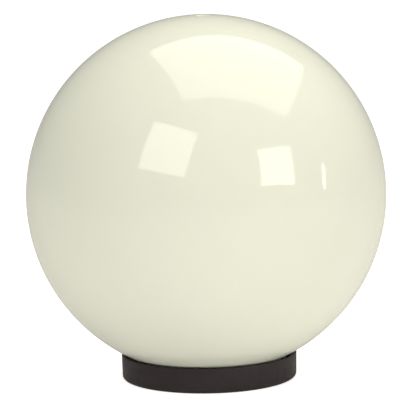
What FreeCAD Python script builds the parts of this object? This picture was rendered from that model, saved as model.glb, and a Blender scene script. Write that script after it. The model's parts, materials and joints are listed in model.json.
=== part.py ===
# Globe light that caps a fence post or gate pier.
#
# A blown opal acrylic globe hangs by a bayonet neck in a low dark collar, which screws flat onto the top of
# the post over a foam gasket.  Under the globe a steel bracket on the collar's floor carries a screw-base
# lampholder with its lamp.  The mains cable comes up through a grommet in the floor, passes a cable clamp
# and ends in a three-pole terminal block.
#
# Frame: millimetres, +Z up, origin at the centre of the face that sits on the post.
import FreeCAD, Part
import math
import os

import Sketcher
from FreeCAD import Placement, Rotation, Vector

doc = FreeCAD.newDocument("globe_post_light")

# ---------------------------------------------------------------------------------------------------------
# Driving dimensions
# ---------------------------------------------------------------------------------------------------------

DRIVING = {
    # globe
    "globe_radius": 125,
    "globe_wall": 2.5,
    "neck_room": 4,
    "neck_fillet": 1.2,
    "gate_radius": 4.8,
    "gate_depth": 1.4,
    "gate_nub_radius": 1.3,
    "gate_nub_height": 0.6,
    "gate_boss_radius": 8,
    # collar
    "collar_radius": 61,
    "collar_draft": 0.35,
    "collar_height": 17.5,
    "collar_wall": 2,
    "collar_foot_round": 2.4,
    "collar_rim_round": 0.5,
    "floor_thickness": 3.5,
    "rim_gap": 1,
    # bayonet: the lugs stand free at rest, and lock when the globe turns back by lock_turn
    "bayonet_count": 3,
    "lug_reach": 4,
    "lug_height": 2.5,
    "lug_rise": 3,
    "lug_sweep": 24,
    "catch_height": 2.5,
    "catch_sweep": 30,
    "catch_neck_clearance": 1,
    "bayonet_clearance": 0.3,
    "lock_turn": 50,
    "stop_sweep": 2.4,
    "stop_clearance": 0.6,
    # seals
    "gasket_edge": 6,
    "gasket_width": 8,
    "gasket_thickness": 1.5,
    "gasket_clearance": 0.2,
    "seal_web": 1.5,
    "seal_lip": 1.1,
    "seal_grip": 2.5,
    "seal_fit": 0.05,
    # screws to the post
    "fixing_count": 4,
    "fixing_washer_room": 1.9,
    "fixing_angle": 45,
    "fixing_hole_radius": 2.75,
    "fixing_washer_radius": 5.5,
    "fixing_washer_thickness": 1.6,
    "fixing_washer_bore": 2.6,
    # cable entry
    "grommet_room": 6.7,
    "entry_hole_radius": 6.5,
    "grommet_bore": 4,
    "grommet_flange_radius": 8.7,
    "grommet_flange_thickness": 1.3,
    "grommet_clearance": 0.2,
    # cable clamp
    "clamp_entry_spacing": 17,
    "clamp_screw_offset": 10,
    "clamp_boss_radius": 3.2,
    "clamp_boss_height": 7.5,
    "clamp_width": 7,
    "clamp_thickness": 3,
    "clamp_rib_length": 10,
    "clamp_rib_width": 1.2,
    "clamp_rib_height": 0.6,
    "clamp_screw_radius": 1.5,
    "clamp_screw_length": 9,
    "clamp_head_radius": 2.9,
    "clamp_head_height": 2,
    # what every screw shares
    "screw_clearance": 0.05,
    "screw_hole_clearance": 0.3,
    "screw_tip_clearance": 0.5,
    "slot_width": 0.9,
    "slot_share": 0.45,
    # bracket
    "bracket_thickness": 1.5,
    "bracket_width": 16,
    "bracket_rise": 17,
    "bracket_foot_room": 8.4,
    "bracket_screw_edge": 8,
    "bracket_leg_spacing": 8,
    "bracket_foot_round": 3,
    "bracket_bend": 2,
    "bracket_boss_height": 5,
    "bracket_boss_radius": 4.5,
    "bracket_screw_radius": 1.8,
    "bracket_screw_length": 7,
    "bracket_head_radius": 3.6,
    "bracket_head_height": 2.3,
    # earth terminal on the bracket
    "earth_offset": 15.5,
    "earth_tag_radius": 4,
    "earth_tag_thickness": 0.8,
    "earth_tongue_width": 3,
    "earth_barrel_start": 4.6,
    "earth_barrel_length": 5,
    "earth_barrel_radius": 2,
    "earth_screw_radius": 1.9,
    "earth_screw_length": 6,
    "earth_head_radius": 3.3,
    "earth_head_height": 2.2,
    # threaded nipple that holds the lampholder
    "nipple_radius": 5,
    "nipple_bore": 3.7,
    "nipple_above_plate": 8,
    "nipple_below_nut": 1.5,
    "nut_across_flats": 14,
    "nut_height": 3,
    "lock_washer_radius": 7.5,
    "lock_washer_thickness": 0.9,
    "lock_washer_teeth": 8,
    # lampholder
    "dome_entry_radius": 9,
    "dome_entry_height": 4,
    "dome_radius": 19.5,
    "dome_flare_height": 13,
    "dome_shoulder_round": 3,
    "dome_height": 26,
    "dome_wall": 2,
    "spigot_radius": 17.6,
    "spigot_height": 7,
    "core_radius": 15,
    "core_ledge": 1.5,
    "core_clearance": 0.3,
    "core_base": 20,
    "core_height": 12,
    "terminal_offset": 7,
    "terminal_radius": 2.3,
    "terminal_length": 8,
    "skirt_radius": 20.5,
    "skirt_height": 34,
    "skirt_grip_height": 13,
    "skirt_barrel_radius": 17.4,
    "skirt_mouth_radius": 15.3,
    "skirt_clearance": 0.15,
    "sleeve_radius": 13.9,
    "sleeve_wall": 0.45,
    "sleeve_flange_inner": 11,
    "sleeve_height": 21,
    "tongue_width": 5,
    "tongue_thickness": 0.5,
    "tongue_start": 9,
    "tongue_foot": 5,
    "tongue_reach": 2.5,
    "tongue_gap": 0.1,
    # lamp
    "lamp_seat": 35,
    "lamp_tip_radius": 4.2,
    "lamp_tip_height": 1.6,
    "insulator_height": 5,
    "insulator_foot_radius": 5,
    "insulator_top_radius": 11.4,
    "cap_radius": 13.1,
    "cap_height": 19,
    "cap_wall": 0.4,
    "cap_end_inner": 9,
    "housing_wall": 1.4,
    "housing_insert": 6,
    "housing_neck_radius": 14,
    "housing_neck_height": 2,
    "housing_radius": 28.5,
    "housing_height": 36,
    "diffuser_radius": 30,
    "diffuser_wall": 1.2,
    "led_board_thickness": 1.6,
    "led_board_depth": 2,
    "led_board_clearance": 0.3,
    "led_count": 12,
    "led_circle_radius": 17,
    "led_side": 2.8,
    "led_height": 0.8,
    "led_ring_width": 5,
    "led_ring_thickness": 0.3,
    "driver_length": 26,
    "driver_width": 15,
    "driver_thickness": 1.6,
    "capacitor_radius": 3,
    "capacitor_length": 11,
    "capacitor_rise": 15,
    # terminal block
    "block_offset": 25,
    "block_depth": 14,
    "block_height": 13,
    "block_pitch": 12,
    "block_poles": 3,
    "block_pole_width": 7.4,
    "block_web_depth": 6,
    "block_web_height": 5,
    "clamp_tube_rise": 6.5,
    "clamp_tube_radius": 2.9,
    "clamp_tube_bore": 1.6,
    "clamp_tube_clearance": 0.1,
    "clamp_tube_recess": 0.5,
    "pole_screw_spread": 7,
    "pole_screw_radius": 1.4,
    "pole_head_radius": 2,
    "pole_head_height": 1.6,
    "pole_screw_length": 4.2,
    "pole_well_clearance": 0.25,
    "block_screw_radius": 1.3,
    "block_screw_length": 7,
    "block_head_radius": 2.1,
    "block_head_height": 1.6,
    # insulated wires
    "wire_radius": 1.1,
    "wire_half_gap": 1.3,
    "wire_clearance": 0.2,
    "wire_insert": 6,
    "wire_lead": 6.5,
    "wire_end_share": 0.4,
    "wire_run_share": 0.45,
}

dims = doc.addObject("Spreadsheet::Sheet", "dims")
for row, (alias, number) in enumerate(DRIVING.items(), start=1):
    dims.set(f"A{row}", alias)
    dims.set(f"B{row}", str(number))
    dims.setAlias(f"B{row}", alias)
doc.recompute()

# ---------------------------------------------------------------------------------------------------------
# Derived places, each a formula on the sheet, shared by the pieces that meet there
# ---------------------------------------------------------------------------------------------------------

DERIVED = {
    "rim_inner": "dims.collar_radius - dims.collar_wall",
    "globe_centre": "dims.collar_height + dims.rim_gap + sqrt(dims.globe_radius^2 - place.rim_inner^2)",
    "globe_inner": "dims.globe_radius - dims.globe_wall",
    "neck_radius": "place.rim_inner - dims.neck_room - dims.lug_reach",
    "neck_inner": "place.neck_radius - dims.globe_wall",
    "seal_inner": "place.neck_inner - dims.seal_lip",
    "gasket_outer": "dims.collar_radius - dims.gasket_edge",
    "gasket_inner": "place.gasket_outer - dims.gasket_width",
    "fixing_circle": "place.seal_inner - dims.fixing_washer_radius - dims.fixing_washer_room",
    "entry_offset": "place.seal_inner - dims.grommet_flange_radius - dims.grommet_room",
    "clamp_offset": "place.entry_offset - dims.clamp_entry_spacing",
    "foot_reach": "place.seal_inner - dims.bracket_foot_room",
    "bracket_screw_offset": "place.foot_reach - dims.bracket_screw_edge",
    "bracket_half_span": "place.bracket_screw_offset - dims.bracket_leg_spacing",
    "neck_end": "dims.floor_thickness + dims.seal_web",
    "neck_top": "place.globe_centre - sqrt(dims.globe_radius^2 - place.neck_radius^2)",
    "gate_floor": "place.globe_centre + dims.globe_radius - dims.gate_depth",
    "lug_bottom": "place.neck_end + dims.lug_rise",
    "lug_top": "place.lug_bottom + dims.lug_height",
    "catch_bottom": "place.lug_top + dims.bayonet_clearance",
    "catch_inner": "place.neck_radius + dims.catch_neck_clearance",
    "catch_angle": "-dims.lock_turn",
    "stop_angle": "place.catch_angle - dims.lug_sweep / 2 - dims.stop_clearance - dims.stop_sweep / 2",
    "stop_inner": "place.neck_radius + dims.seal_lip + dims.bayonet_clearance",
    "clamp_seat": "dims.floor_thickness + dims.clamp_boss_height",
    "bracket_seat": "dims.floor_thickness + dims.bracket_boss_height",
    "foot_top": "place.bracket_seat + dims.bracket_thickness",
    "plate_top": "place.bracket_seat + dims.bracket_rise",
    "plate_bottom": "place.plate_top - dims.bracket_thickness",
    "nut_top": "place.plate_bottom - dims.lock_washer_thickness",
    "nut_bottom": "place.nut_top - dims.nut_height",
    "nipple_bottom": "place.nut_bottom - dims.nipple_below_nut",
    "nipple_top": "place.plate_top + dims.nipple_above_plate",
    "nipple_seat": "dims.nipple_radius + dims.screw_clearance",
    "core_bottom": "place.plate_top + dims.core_base",
    "core_top": "place.core_bottom + dims.core_height",
    "dome_top": "place.plate_top + dims.dome_height",
    "spigot_top": "place.dome_top + dims.spigot_height",
    "skirt_top": "place.dome_top + dims.skirt_height",
    "tip_bottom": "place.plate_top + dims.lamp_seat",
    "tip_top": "place.tip_bottom + dims.lamp_tip_height",
    "cap_bottom": "place.tip_top + dims.insulator_height",
    "cap_top": "place.cap_bottom + dims.cap_height",
    "insert_radius": "dims.cap_radius - dims.cap_wall - dims.screw_clearance",
    "flare_bottom": "place.cap_top + dims.housing_neck_height",
    "flare_top": "place.cap_top + dims.housing_height",
    "flare_rise": "place.flare_top - place.flare_bottom",
    "flare_spread": "dims.housing_radius - dims.housing_neck_radius",
    "flare_radius": "(place.flare_spread^2 + place.flare_rise^2) / (2 * place.flare_spread)",
    "flare_centre": "dims.housing_neck_radius + place.flare_radius",
    "diffuser_centre": "place.flare_top + sqrt(dims.diffuser_radius^2 - dims.housing_radius^2)",
    "board_top": "place.flare_top - dims.led_board_depth",
    "board_bottom": "place.board_top - dims.led_board_thickness",
    "board_rise": "place.board_bottom - place.flare_bottom",
    "flare_inner": "place.flare_radius + dims.housing_wall",
    "board_room": "place.flare_centre - sqrt(place.flare_inner^2 - place.board_rise^2)",
    "tube_axis": "dims.floor_thickness + dims.clamp_tube_rise",
    "block_top": "dims.floor_thickness + dims.block_height",
    "block_front": "dims.block_offset - dims.block_depth / 2",
    "pole_head_seat": "place.tube_axis + dims.wire_radius + dims.screw_clearance + dims.pole_screw_length",
    "block_web_top": "dims.floor_thickness + dims.block_web_height",
    "block_well_radius": "dims.pole_head_radius + dims.pole_well_clearance",
    "barrel_axis": "place.plate_top + dims.earth_barrel_radius + dims.bayonet_clearance / 3",
    "wire_bore": "dims.wire_radius + dims.wire_clearance",
    "wire_start": "place.block_front + dims.wire_insert",
}

place = doc.addObject("App::VarSet", "place")
for name, formula in DERIVED.items():
    place.addProperty("App::PropertyFloat", name)
    place.setExpression(name, formula)
    doc.recompute()


gauge = doc.addObject("App::VarSet", "gauge")
gauge.addProperty("App::PropertyFloat", "reading")


def value(formula):
    """The number that a formula on the sheet gives now."""
    gauge.setExpression("reading", formula)
    gauge.recompute()
    return gauge.reading


# ---------------------------------------------------------------------------------------------------------
# Helpers for bodies, sketches and features
# ---------------------------------------------------------------------------------------------------------


pieces = []


def new_body(label):
    body = doc.addObject("PartDesign::Body", label)
    body.Label = label
    body.AllowCompound = True
    pieces.append(body)
    return body


def origin_feature(body, role):
    return next(f for f in body.Origin.OriginFeatures if f.Role == role)


def sketch_on(body, role, offset=("0", "0", "0"), turn="0"):
    """An empty sketch on an origin plane of the body, shifted in its axes and turned about its upright."""
    sketch = body.newObject("Sketcher::SketchObject", body.Name + "_sketch")
    sketch.AttachmentSupport = [(origin_feature(body, role), "")]
    sketch.MapMode = "FlatFace"
    sketch.AttachmentOffset = Placement(Vector(0, 0, 0), Rotation(Vector(0, 1, 0), 1))
    for axis, formula in zip("xyz", offset):
        sketch.setExpression(f"AttachmentOffset.Base.{axis}", formula)
    sketch.setExpression("AttachmentOffset.Rotation.Angle", turn)
    return sketch


def fix(sketch, kind, formula, *ends):
    """One dimension of a sketch, bound to a formula."""
    index = sketch.addConstraint(Sketcher.Constraint(kind, *ends, value(formula)))
    sketch.setExpression(f"Constraints[{index}]", formula)


def arc_between(start, end, centre, turn):
    circle = Part.Circle(centre, Vector(0, 0, 1), (start - centre).Length)
    first, last = (start, end) if turn == "left" else (end, start)
    angles = [math.atan2(p.y - centre.y, p.x - centre.x) for p in (first, last)]
    return Part.ArcOfCircle(circle, *angles)


def outline(sketch, corners):
    """A closed outline.  A corner is (x, y), or (x, y, (cx, cy, turn)) if an arc about (cx, cy) follows."""
    points = [Vector(value(c[0]), value(c[1]), 0) for c in corners]
    edges = []
    for i, corner in enumerate(corners):
        start, end = points[i], points[(i + 1) % len(points)]
        if len(corner) == 2:
            edges.append((sketch.addGeometry(Part.LineSegment(start, end), False), 1, 2))
        else:
            cx, cy, turn = corner[2]
            centre = Vector(value(cx), value(cy), 0)
            arc = sketch.addGeometry(arc_between(start, end, centre, turn), False)
            edges.append((arc, 1, 2) if turn == "left" else (arc, 2, 1))
    for i, (edge, head, tail) in enumerate(edges):
        following, following_head, _ = edges[(i + 1) % len(edges)]
        sketch.addConstraint(Sketcher.Constraint("Coincident", edge, tail, following, following_head))
    for i, (edge, head, tail) in enumerate(edges):
        before = corners[i - 1]
        keep_x = keep_y = True
        if len(before) == 3:
            # An arc that ends here already holds the coordinate it is steepest in.
            across = abs(points[i].x - value(before[2][0]))
            along = abs(points[i].y - value(before[2][1]))
            keep_x, keep_y = across <= along, across > along
        if keep_x:
            fix(sketch, "DistanceX", corners[i][0], -1, 1, edge, head)
        if keep_y:
            fix(sketch, "DistanceY", corners[i][1], -1, 1, edge, head)
        if len(corners[i]) == 3:
            fix(sketch, "DistanceX", corners[i][2][0], -1, 1, edge, 3)
            fix(sketch, "DistanceY", corners[i][2][1], -1, 1, edge, 3)
    return sketch


def rectangle(sketch, left, right, low, high):
    return outline(sketch, [(left, low), (right, low), (right, high), (left, high)])


def circle(sketch, x, y, radius):
    geometry = Part.Circle(Vector(value(x), value(y), 0), Vector(0, 0, 1), value(radius))
    index = sketch.addGeometry(geometry, False)
    fix(sketch, "DistanceX", x, -1, 1, index, 3)
    fix(sketch, "DistanceY", y, -1, 1, index, 3)
    fix(sketch, "Radius", radius, index)
    return sketch


def hexagon(sketch, across_flats):
    """A hexagon about the sketch's origin, with two of its corners on the x axis."""
    corner = f"{across_flats} / sqrt(3)"
    half = f"{across_flats} / (2 * sqrt(3))"
    flat = f"{across_flats} / 2"
    return outline(sketch, [(corner, "0"), (half, flat), (f"-{half}", flat),
                            (f"-{corner}", "0"), (f"-{half}", f"-{flat}"), (half, f"-{flat}")])


def checked(body, feature, grows):
    """Recomputes, and stops if the feature left the body's volume as it was or moved it the wrong way."""
    doc.recompute()
    before = feature.BaseFeature.Shape.Volume if feature.BaseFeature else 0
    after = feature.Shape.Volume
    if after == before or (after > before) != grows:
        raise ValueError(f"{body.Label}: {feature.Name} changed the volume from {before:.3f} to {after:.3f}")
    return feature


def revolve(body, sketch, angle="360", cut=False):
    """Turns the sketch about its own upright axis: all round, or half the angle each way."""
    feature = body.newObject("PartDesign::Groove" if cut else "PartDesign::Revolution", body.Name + "_turned")
    feature.Profile = sketch
    feature.ReferenceAxis = (sketch, ["V_Axis"])
    feature.Midplane = angle != "360"
    feature.setExpression("Angle", angle)
    return checked(body, feature, grows=not cut)


def pad(body, sketch, length, midplane=False, backwards=False):
    feature = body.newObject("PartDesign::Pad", body.Name + "_pad")
    feature.Profile = sketch
    feature.SideType = "Symmetric" if midplane else "One side"
    feature.Reversed = backwards
    feature.setExpression("Length", length)
    return checked(body, feature, grows=True)


def pocket(body, sketch, length, midplane=False, backwards=False):
    """Cuts the sketch into the body against the sketch's normal, or along it when backwards."""
    feature = body.newObject("PartDesign::Pocket", body.Name + "_pocket")
    feature.Profile = sketch
    feature.SideType = "Symmetric" if midplane else "One side"
    feature.Reversed = backwards
    feature.setExpression("Length", length)
    return checked(body, feature, grows=False)


def around(body, features, count, grows=True):
    """Copies features evenly round Z."""
    pattern = body.newObject("PartDesign::PolarPattern", body.Name + "_around")
    pattern.Originals = features
    pattern.Axis = (origin_feature(body, "Z_Axis"), [""])
    pattern.Angle = 360
    pattern.setExpression("Occurrences", count)
    body.Tip = pattern
    return checked(body, pattern, grows)


def fillet(body, radius, wanted):
    """Rounds the edges of the body's last feature that wanted(edge) picks."""
    base = body.Tip
    names = [f"Edge{i}" for i, edge in enumerate(base.Shape.Edges, start=1) if wanted(edge)]
    if not names:
        raise ValueError(f"{body.Label}: no edge to round")
    feature = body.newObject("PartDesign::Fillet", body.Name + "_fillet")
    feature.Base = (base, names)
    feature.setExpression("Radius", radius)
    doc.recompute()
    return feature


def turned_piece(label, corners):
    """A round piece on the Z axis, from half its cross-section."""
    body = new_body(label)
    revolve(body, outline(sketch_on(body, "XZ_Plane"), corners))
    return body


def ring(inner, outer, low, high):
    """Half the cross-section of a plain ring."""
    return [(inner, low), (outer, low), (outer, high), (inner, high)]


def near(a, b):
    return abs(a - b) < 1e-4


def is_ring(edge, radius, height):
    """Whether the edge is the circle about Z of that radius at that height."""
    curve = edge.Curve
    return isinstance(curve, Part.Circle) and near(curve.Radius, radius) and near(curve.Center.z, height)


def is_bend(edge, corners):
    """Whether the edge runs along Y through one of the corners (distance from the middle, height)."""
    ends = [v.Point for v in edge.Vertexes]
    return len(ends) == 2 and not near(ends[0].y, ends[1].y) and any(
        near(abs(end.x), x) and near(end.z, z) for end in ends for x, z in corners)


def is_upright_at(edge, reach):
    """Whether the edge runs along Z at that distance from the middle."""
    ends = [v.Point for v in edge.Vertexes]
    return len(ends) == 2 and not near(ends[0].z, ends[1].z) and all(near(abs(end.x), reach) for end in ends)


def screw(label, kind, x, y, seat):
    """A slotted pan-head screw, its head on the seat and its shank down.  The sheet sizes it by its kind."""
    radius, length = f"dims.{kind}_screw_radius", f"dims.{kind}_screw_length"
    head, height = f"dims.{kind}_head_radius", f"dims.{kind}_head_height"
    body = turned_piece(label, [
        ("0", f"-{length}"),
        (f"{radius} * 2 / 3", f"-{length}"),
        (radius, f"{radius} / 2 - {length}"),
        (radius, "0"),
        (head, "0"),
        (head, f"{height} / 2"),
        (f"{head} * 3 / 4", height),
        ("0", height),
    ])
    slot = sketch_on(body, "XY_Plane", offset=("0", "0", height))
    rectangle(slot, f"-{head} * 2", f"{head} * 2", "-dims.slot_width / 2", "dims.slot_width / 2")
    pocket(body, slot, f"{height} * dims.slot_share")
    body.setExpression("Placement.Base.x", x)
    body.setExpression("Placement.Base.y", y)
    body.setExpression("Placement.Base.z", seat)
    return body


def wire(label, points):
    """An insulated wire: straight runs joined by tangent arcs, as large as the runs allow."""
    corners = [Vector(*p) for p in points]
    runs = [(b - a).Length for a, b in zip(corners, corners[1:])]
    room = [run * value("dims.wire_run_share") for run in runs]
    room[0] = runs[0] * value("dims.wire_end_share")
    room[-1] = runs[-1] * value("dims.wire_end_share")
    edges = []
    last = corners[0]
    for i in range(1, len(corners) - 1):
        into = (corners[i] - corners[i - 1]).normalize()
        out = (corners[i + 1] - corners[i]).normalize()
        cut = min(room[i - 1], room[i])
        half_turn = into.getAngle(out) / 2
        bend = cut / math.tan(half_turn)
        first, final = corners[i] - into * cut, corners[i] + out * cut
        inward = (out - into).normalize()
        middle = corners[i] + inward * (bend / math.cos(half_turn) - bend)
        edges += [Part.LineSegment(last, first).toShape(), Part.Arc(first, middle, final).toShape()]
        last = final
        print(f"{label}: bend {i} radius {bend:.1f}")
    edges.append(Part.LineSegment(last, corners[-1]).toShape())
    path = Part.Wire(edges)
    radius = value("dims.wire_radius")
    section = Part.Wire([Part.Circle(corners[0], corners[1] - corners[0], radius).toShape()])
    solid = path.makePipeShell([section], True, False)
    expected = math.pi * radius ** 2 * path.Length
    if abs(solid.Volume / expected - 1) > 0.01:
        raise ValueError(f"{label}: the volume is {solid.Volume:.2f}, and the length gives {expected:.2f}")
    feature = doc.addObject("Part::Feature", label)
    feature.Label = label
    feature.Shape = solid
    pieces.append(feature)
    return feature


# ---------------------------------------------------------------------------------------------------------
# Globe
# ---------------------------------------------------------------------------------------------------------


def on_sphere(radius, out, above=True):
    """The height of a point of a sphere about the globe's centre, at the distance out from the axis."""
    return f"place.globe_centre {'+' if above else '-'} sqrt({radius}^2 - {out}^2)"


def make_globe():
    body = new_body("globe")
    outside = ("0", "place.globe_centre", "right")
    inside = ("0", "place.globe_centre", "left")
    nub_top = "place.gate_floor + dims.gate_nub_height"
    boss_underside = "place.gate_floor - dims.globe_wall"
    revolve(body, outline(sketch_on(body, "XZ_Plane"), [
        ("0", nub_top),
        ("dims.gate_nub_radius", nub_top),
        ("dims.gate_nub_radius", "place.gate_floor"),
        ("dims.gate_radius", "place.gate_floor"),
        ("dims.gate_radius", on_sphere("dims.globe_radius", "dims.gate_radius"), outside),
        ("place.neck_radius", "place.neck_top"),
        ("place.neck_radius", "place.neck_end"),
        ("place.neck_inner", "place.neck_end"),
        ("place.neck_inner", on_sphere("place.globe_inner", "place.neck_inner", above=False), inside),
        ("dims.gate_boss_radius", on_sphere("place.globe_inner", "dims.gate_boss_radius")),
        ("dims.gate_boss_radius", boss_underside),
        ("0", boss_underside),
    ]))
    corner = (value("place.neck_radius"), value("place.neck_top"))
    fillet(body, "dims.neck_fillet", lambda edge: is_ring(edge, *corner))
    wall_middle = "place.neck_radius - dims.globe_wall / 2"
    lug = sketch_on(body, "XZ_Plane")
    rectangle(lug, wall_middle, "place.neck_radius + dims.lug_reach", "place.lug_bottom", "place.lug_top")
    around(body, [revolve(body, lug, "dims.lug_sweep")], "dims.bayonet_count")


# ---------------------------------------------------------------------------------------------------------
# Collar: the cup that screws to the post and holds everything
# ---------------------------------------------------------------------------------------------------------


def make_collar():
    body = new_body("collar")
    foot = "dims.collar_radius - dims.collar_draft"
    foot_inner = f"{foot} - dims.collar_foot_round"
    rim_low = "dims.collar_height - dims.collar_rim_round"
    rim_out = "dims.collar_radius - dims.collar_rim_round"
    rim_in = "place.rim_inner + dims.collar_rim_round"
    groove_inner = "place.gasket_inner - dims.gasket_clearance"
    groove_outer = "place.gasket_outer + dims.gasket_clearance"
    revolve(body, outline(sketch_on(body, "XZ_Plane"), [
        ("0", "0"),
        (groove_inner, "0"),
        (groove_inner, "dims.gasket_thickness"),
        (groove_outer, "dims.gasket_thickness"),
        (groove_outer, "0"),
        (foot_inner, "0", (foot_inner, "dims.collar_foot_round", "left")),
        (foot, "dims.collar_foot_round"),
        ("dims.collar_radius", rim_low, (rim_out, rim_low, "left")),
        (rim_out, "dims.collar_height"),
        (rim_in, "dims.collar_height", (rim_in, rim_low, "left")),
        ("place.rim_inner", rim_low),
        ("place.rim_inner", "dims.floor_thickness"),
        ("0", "dims.floor_thickness"),
    ]))
    add_bayonet_catches(body)
    add_bosses(body)
    cut_floor_holes(body)


def add_bayonet_catches(body):
    """Catches that the globe's lugs turn under, each with a stop rib beyond the lug's locked place."""
    wall_middle = "dims.collar_radius - dims.collar_wall / 2"
    floor_middle = "dims.floor_thickness / 2"
    catch_top = "place.catch_bottom + dims.catch_height"
    catch = sketch_on(body, "XZ_Plane", turn="place.catch_angle")
    rectangle(catch, "place.catch_inner", wall_middle, "place.catch_bottom", catch_top)
    around(body, [revolve(body, catch, "dims.catch_sweep")], "dims.bayonet_count")
    stop = sketch_on(body, "XZ_Plane", turn="place.stop_angle")
    catch_middle = "place.catch_bottom + dims.catch_height / 2"
    rectangle(stop, "place.stop_inner", wall_middle, floor_middle, catch_middle)
    around(body, [revolve(body, stop, "dims.stop_sweep")], "dims.bayonet_count")


def add_bosses(body):
    """Bosses on the floor under the bracket's feet and under the cable clamp."""
    feet = sketch_on(body, "XY_Plane", offset=("0", "0", "dims.floor_thickness"))
    clamps = sketch_on(body, "XY_Plane", offset=("0", "0", "dims.floor_thickness"))
    for side in ("", "-"):
        circle(feet, f"{side}place.bracket_screw_offset", "0", "dims.bracket_boss_radius")
        circle(clamps, f"{side}dims.clamp_screw_offset", "-place.clamp_offset", "dims.clamp_boss_radius")
    pad(body, feet, "dims.bracket_boss_height")
    pad(body, clamps, "dims.clamp_boss_height")


def cut_floor_holes(body):
    """Screw holes to the post, the cable entry with its recess, and the pilot holes."""
    fixing = sketch_on(body, "XY_Plane", offset=("0", "0", "dims.floor_thickness"))
    along = "place.fixing_circle * cos(dims.fixing_angle)"
    across = "place.fixing_circle * sin(dims.fixing_angle)"
    circle(fixing, along, across, "dims.fixing_hole_radius")
    around(body, [pocket(body, fixing, "dims.floor_thickness")], "dims.fixing_count", grows=False)
    entry = sketch_on(body, "XY_Plane", offset=("0", "0", "dims.floor_thickness"))
    circle(entry, "0", "-place.entry_offset", "dims.entry_hole_radius")
    pocket(body, entry, "dims.floor_thickness")
    recess = sketch_on(body, "XY_Plane")
    circle(recess, "0", "-place.entry_offset", "dims.grommet_flange_radius + dims.grommet_clearance")
    recess_depth = "dims.grommet_flange_thickness + dims.grommet_clearance"
    pocket(body, recess, recess_depth, backwards=True)
    pilots = [
        ("place.bracket_screw_offset", "0", "place.bracket_seat", "dims.bracket_screw_radius",
         "dims.bracket_screw_length - dims.bracket_thickness"),
        ("dims.clamp_screw_offset", "-place.clamp_offset", "place.clamp_seat", "dims.clamp_screw_radius",
         "dims.clamp_screw_length - dims.clamp_thickness"),
        ("dims.block_pitch / 2", "dims.block_offset", "dims.floor_thickness", "dims.block_screw_radius",
         "dims.block_screw_length - dims.block_web_height"),
    ]
    for x, y, seat, radius, depth in pilots:
        pilot = sketch_on(body, "XY_Plane", offset=("0", "0", seat))
        for side in ("", "-"):
            circle(pilot, f"{side}({x})", y, f"{radius} + dims.screw_clearance")
        pocket(body, pilot, f"{depth} + dims.screw_tip_clearance")


# ---------------------------------------------------------------------------------------------------------
# Seals and washers
# ---------------------------------------------------------------------------------------------------------


def make_seals():
    grip_top = "place.neck_end + dims.seal_grip"
    lip_inner = "place.seal_inner"
    lip_outer = "place.neck_radius + dims.seal_lip"
    groove_inner = "place.neck_inner - dims.seal_fit"
    groove_outer = "place.neck_radius + dims.seal_fit"
    turned_piece("neck_seal", [
        (lip_inner, "dims.floor_thickness"),
        (lip_outer, "dims.floor_thickness"),
        (lip_outer, grip_top),
        (groove_outer, grip_top),
        (groove_outer, "place.neck_end"),
        (groove_inner, "place.neck_end"),
        (groove_inner, grip_top),
        (lip_inner, grip_top),
    ])
    turned_piece("post_gasket", ring("place.gasket_inner", "place.gasket_outer", "0", "dims.gasket_thickness"))


def make_fixing_washers():
    top = "dims.floor_thickness + dims.fixing_washer_thickness"
    profile = ring("dims.fixing_washer_bore", "dims.fixing_washer_radius", "dims.floor_thickness", top)
    for number in range(int(value("dims.fixing_count"))):
        body = turned_piece(f"fixing_washer_{number + 1}", profile)
        angle = f"(dims.fixing_angle + {number} * 360 / dims.fixing_count)"
        body.setExpression("Placement.Base.x", f"place.fixing_circle * cos({angle})")
        body.setExpression("Placement.Base.y", f"place.fixing_circle * sin({angle})")


def make_grommet():
    low = "dims.grommet_clearance"
    roof = "dims.grommet_flange_thickness + dims.grommet_clearance"
    top = "dims.floor_thickness + dims.grommet_flange_thickness"
    waist = "dims.entry_hole_radius - dims.grommet_clearance / 2"
    body = turned_piece("cable_grommet", [
        ("dims.grommet_bore", low),
        ("dims.grommet_flange_radius", low),
        ("dims.grommet_flange_radius", roof),
        (waist, roof),
        (waist, "dims.floor_thickness"),
        ("dims.grommet_flange_radius", "dims.floor_thickness"),
        ("dims.grommet_flange_radius", top),
        ("dims.grommet_bore", top),
    ])
    body.setExpression("Placement.Base.y", "-place.entry_offset")


# ---------------------------------------------------------------------------------------------------------
# Cable clamp
# ---------------------------------------------------------------------------------------------------------


def make_cable_clamp():
    body = new_body("cable_clamp")
    bar = sketch_on(body, "XY_Plane", offset=("0", "0", "place.clamp_seat"))
    end = "dims.clamp_screw_offset"
    round_radius = "dims.clamp_width / 2"
    near, far = f"-place.clamp_offset - {round_radius}", f"-place.clamp_offset + {round_radius}"
    outline(bar, [
        (f"-{end}", near),
        (end, near, (end, "-place.clamp_offset", "left")),
        (end, far),
        (f"-{end}", far, (f"-{end}", "-place.clamp_offset", "left")),
    ])
    pad(body, bar, "dims.clamp_thickness")
    rib = sketch_on(body, "XY_Plane", offset=("0", "0", "place.clamp_seat"))
    half_length, half_width = "dims.clamp_rib_length / 2", "dims.clamp_rib_width / 2"
    rectangle(rib, f"-{half_length}", half_length,
              f"-place.clamp_offset - {half_width}", f"-place.clamp_offset + {half_width}")
    pad(body, rib, "dims.clamp_rib_height", backwards=True)
    holes = sketch_on(body, "XY_Plane", offset=("0", "0", "place.clamp_seat + dims.clamp_thickness"))
    hole = "dims.clamp_screw_radius + dims.screw_hole_clearance"
    for side in ("", "-"):
        circle(holes, f"{side}{end}", "-place.clamp_offset", hole)
    pocket(body, holes, "dims.clamp_thickness")
    for name, side in (("right", ""), ("left", "-")):
        screw(f"clamp_screw_{name}", "clamp", f"{side}{end}", "-place.clamp_offset",
              "place.clamp_seat + dims.clamp_thickness")


# ---------------------------------------------------------------------------------------------------------
# Bracket with its screws and the earth terminal
# ---------------------------------------------------------------------------------------------------------


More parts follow.
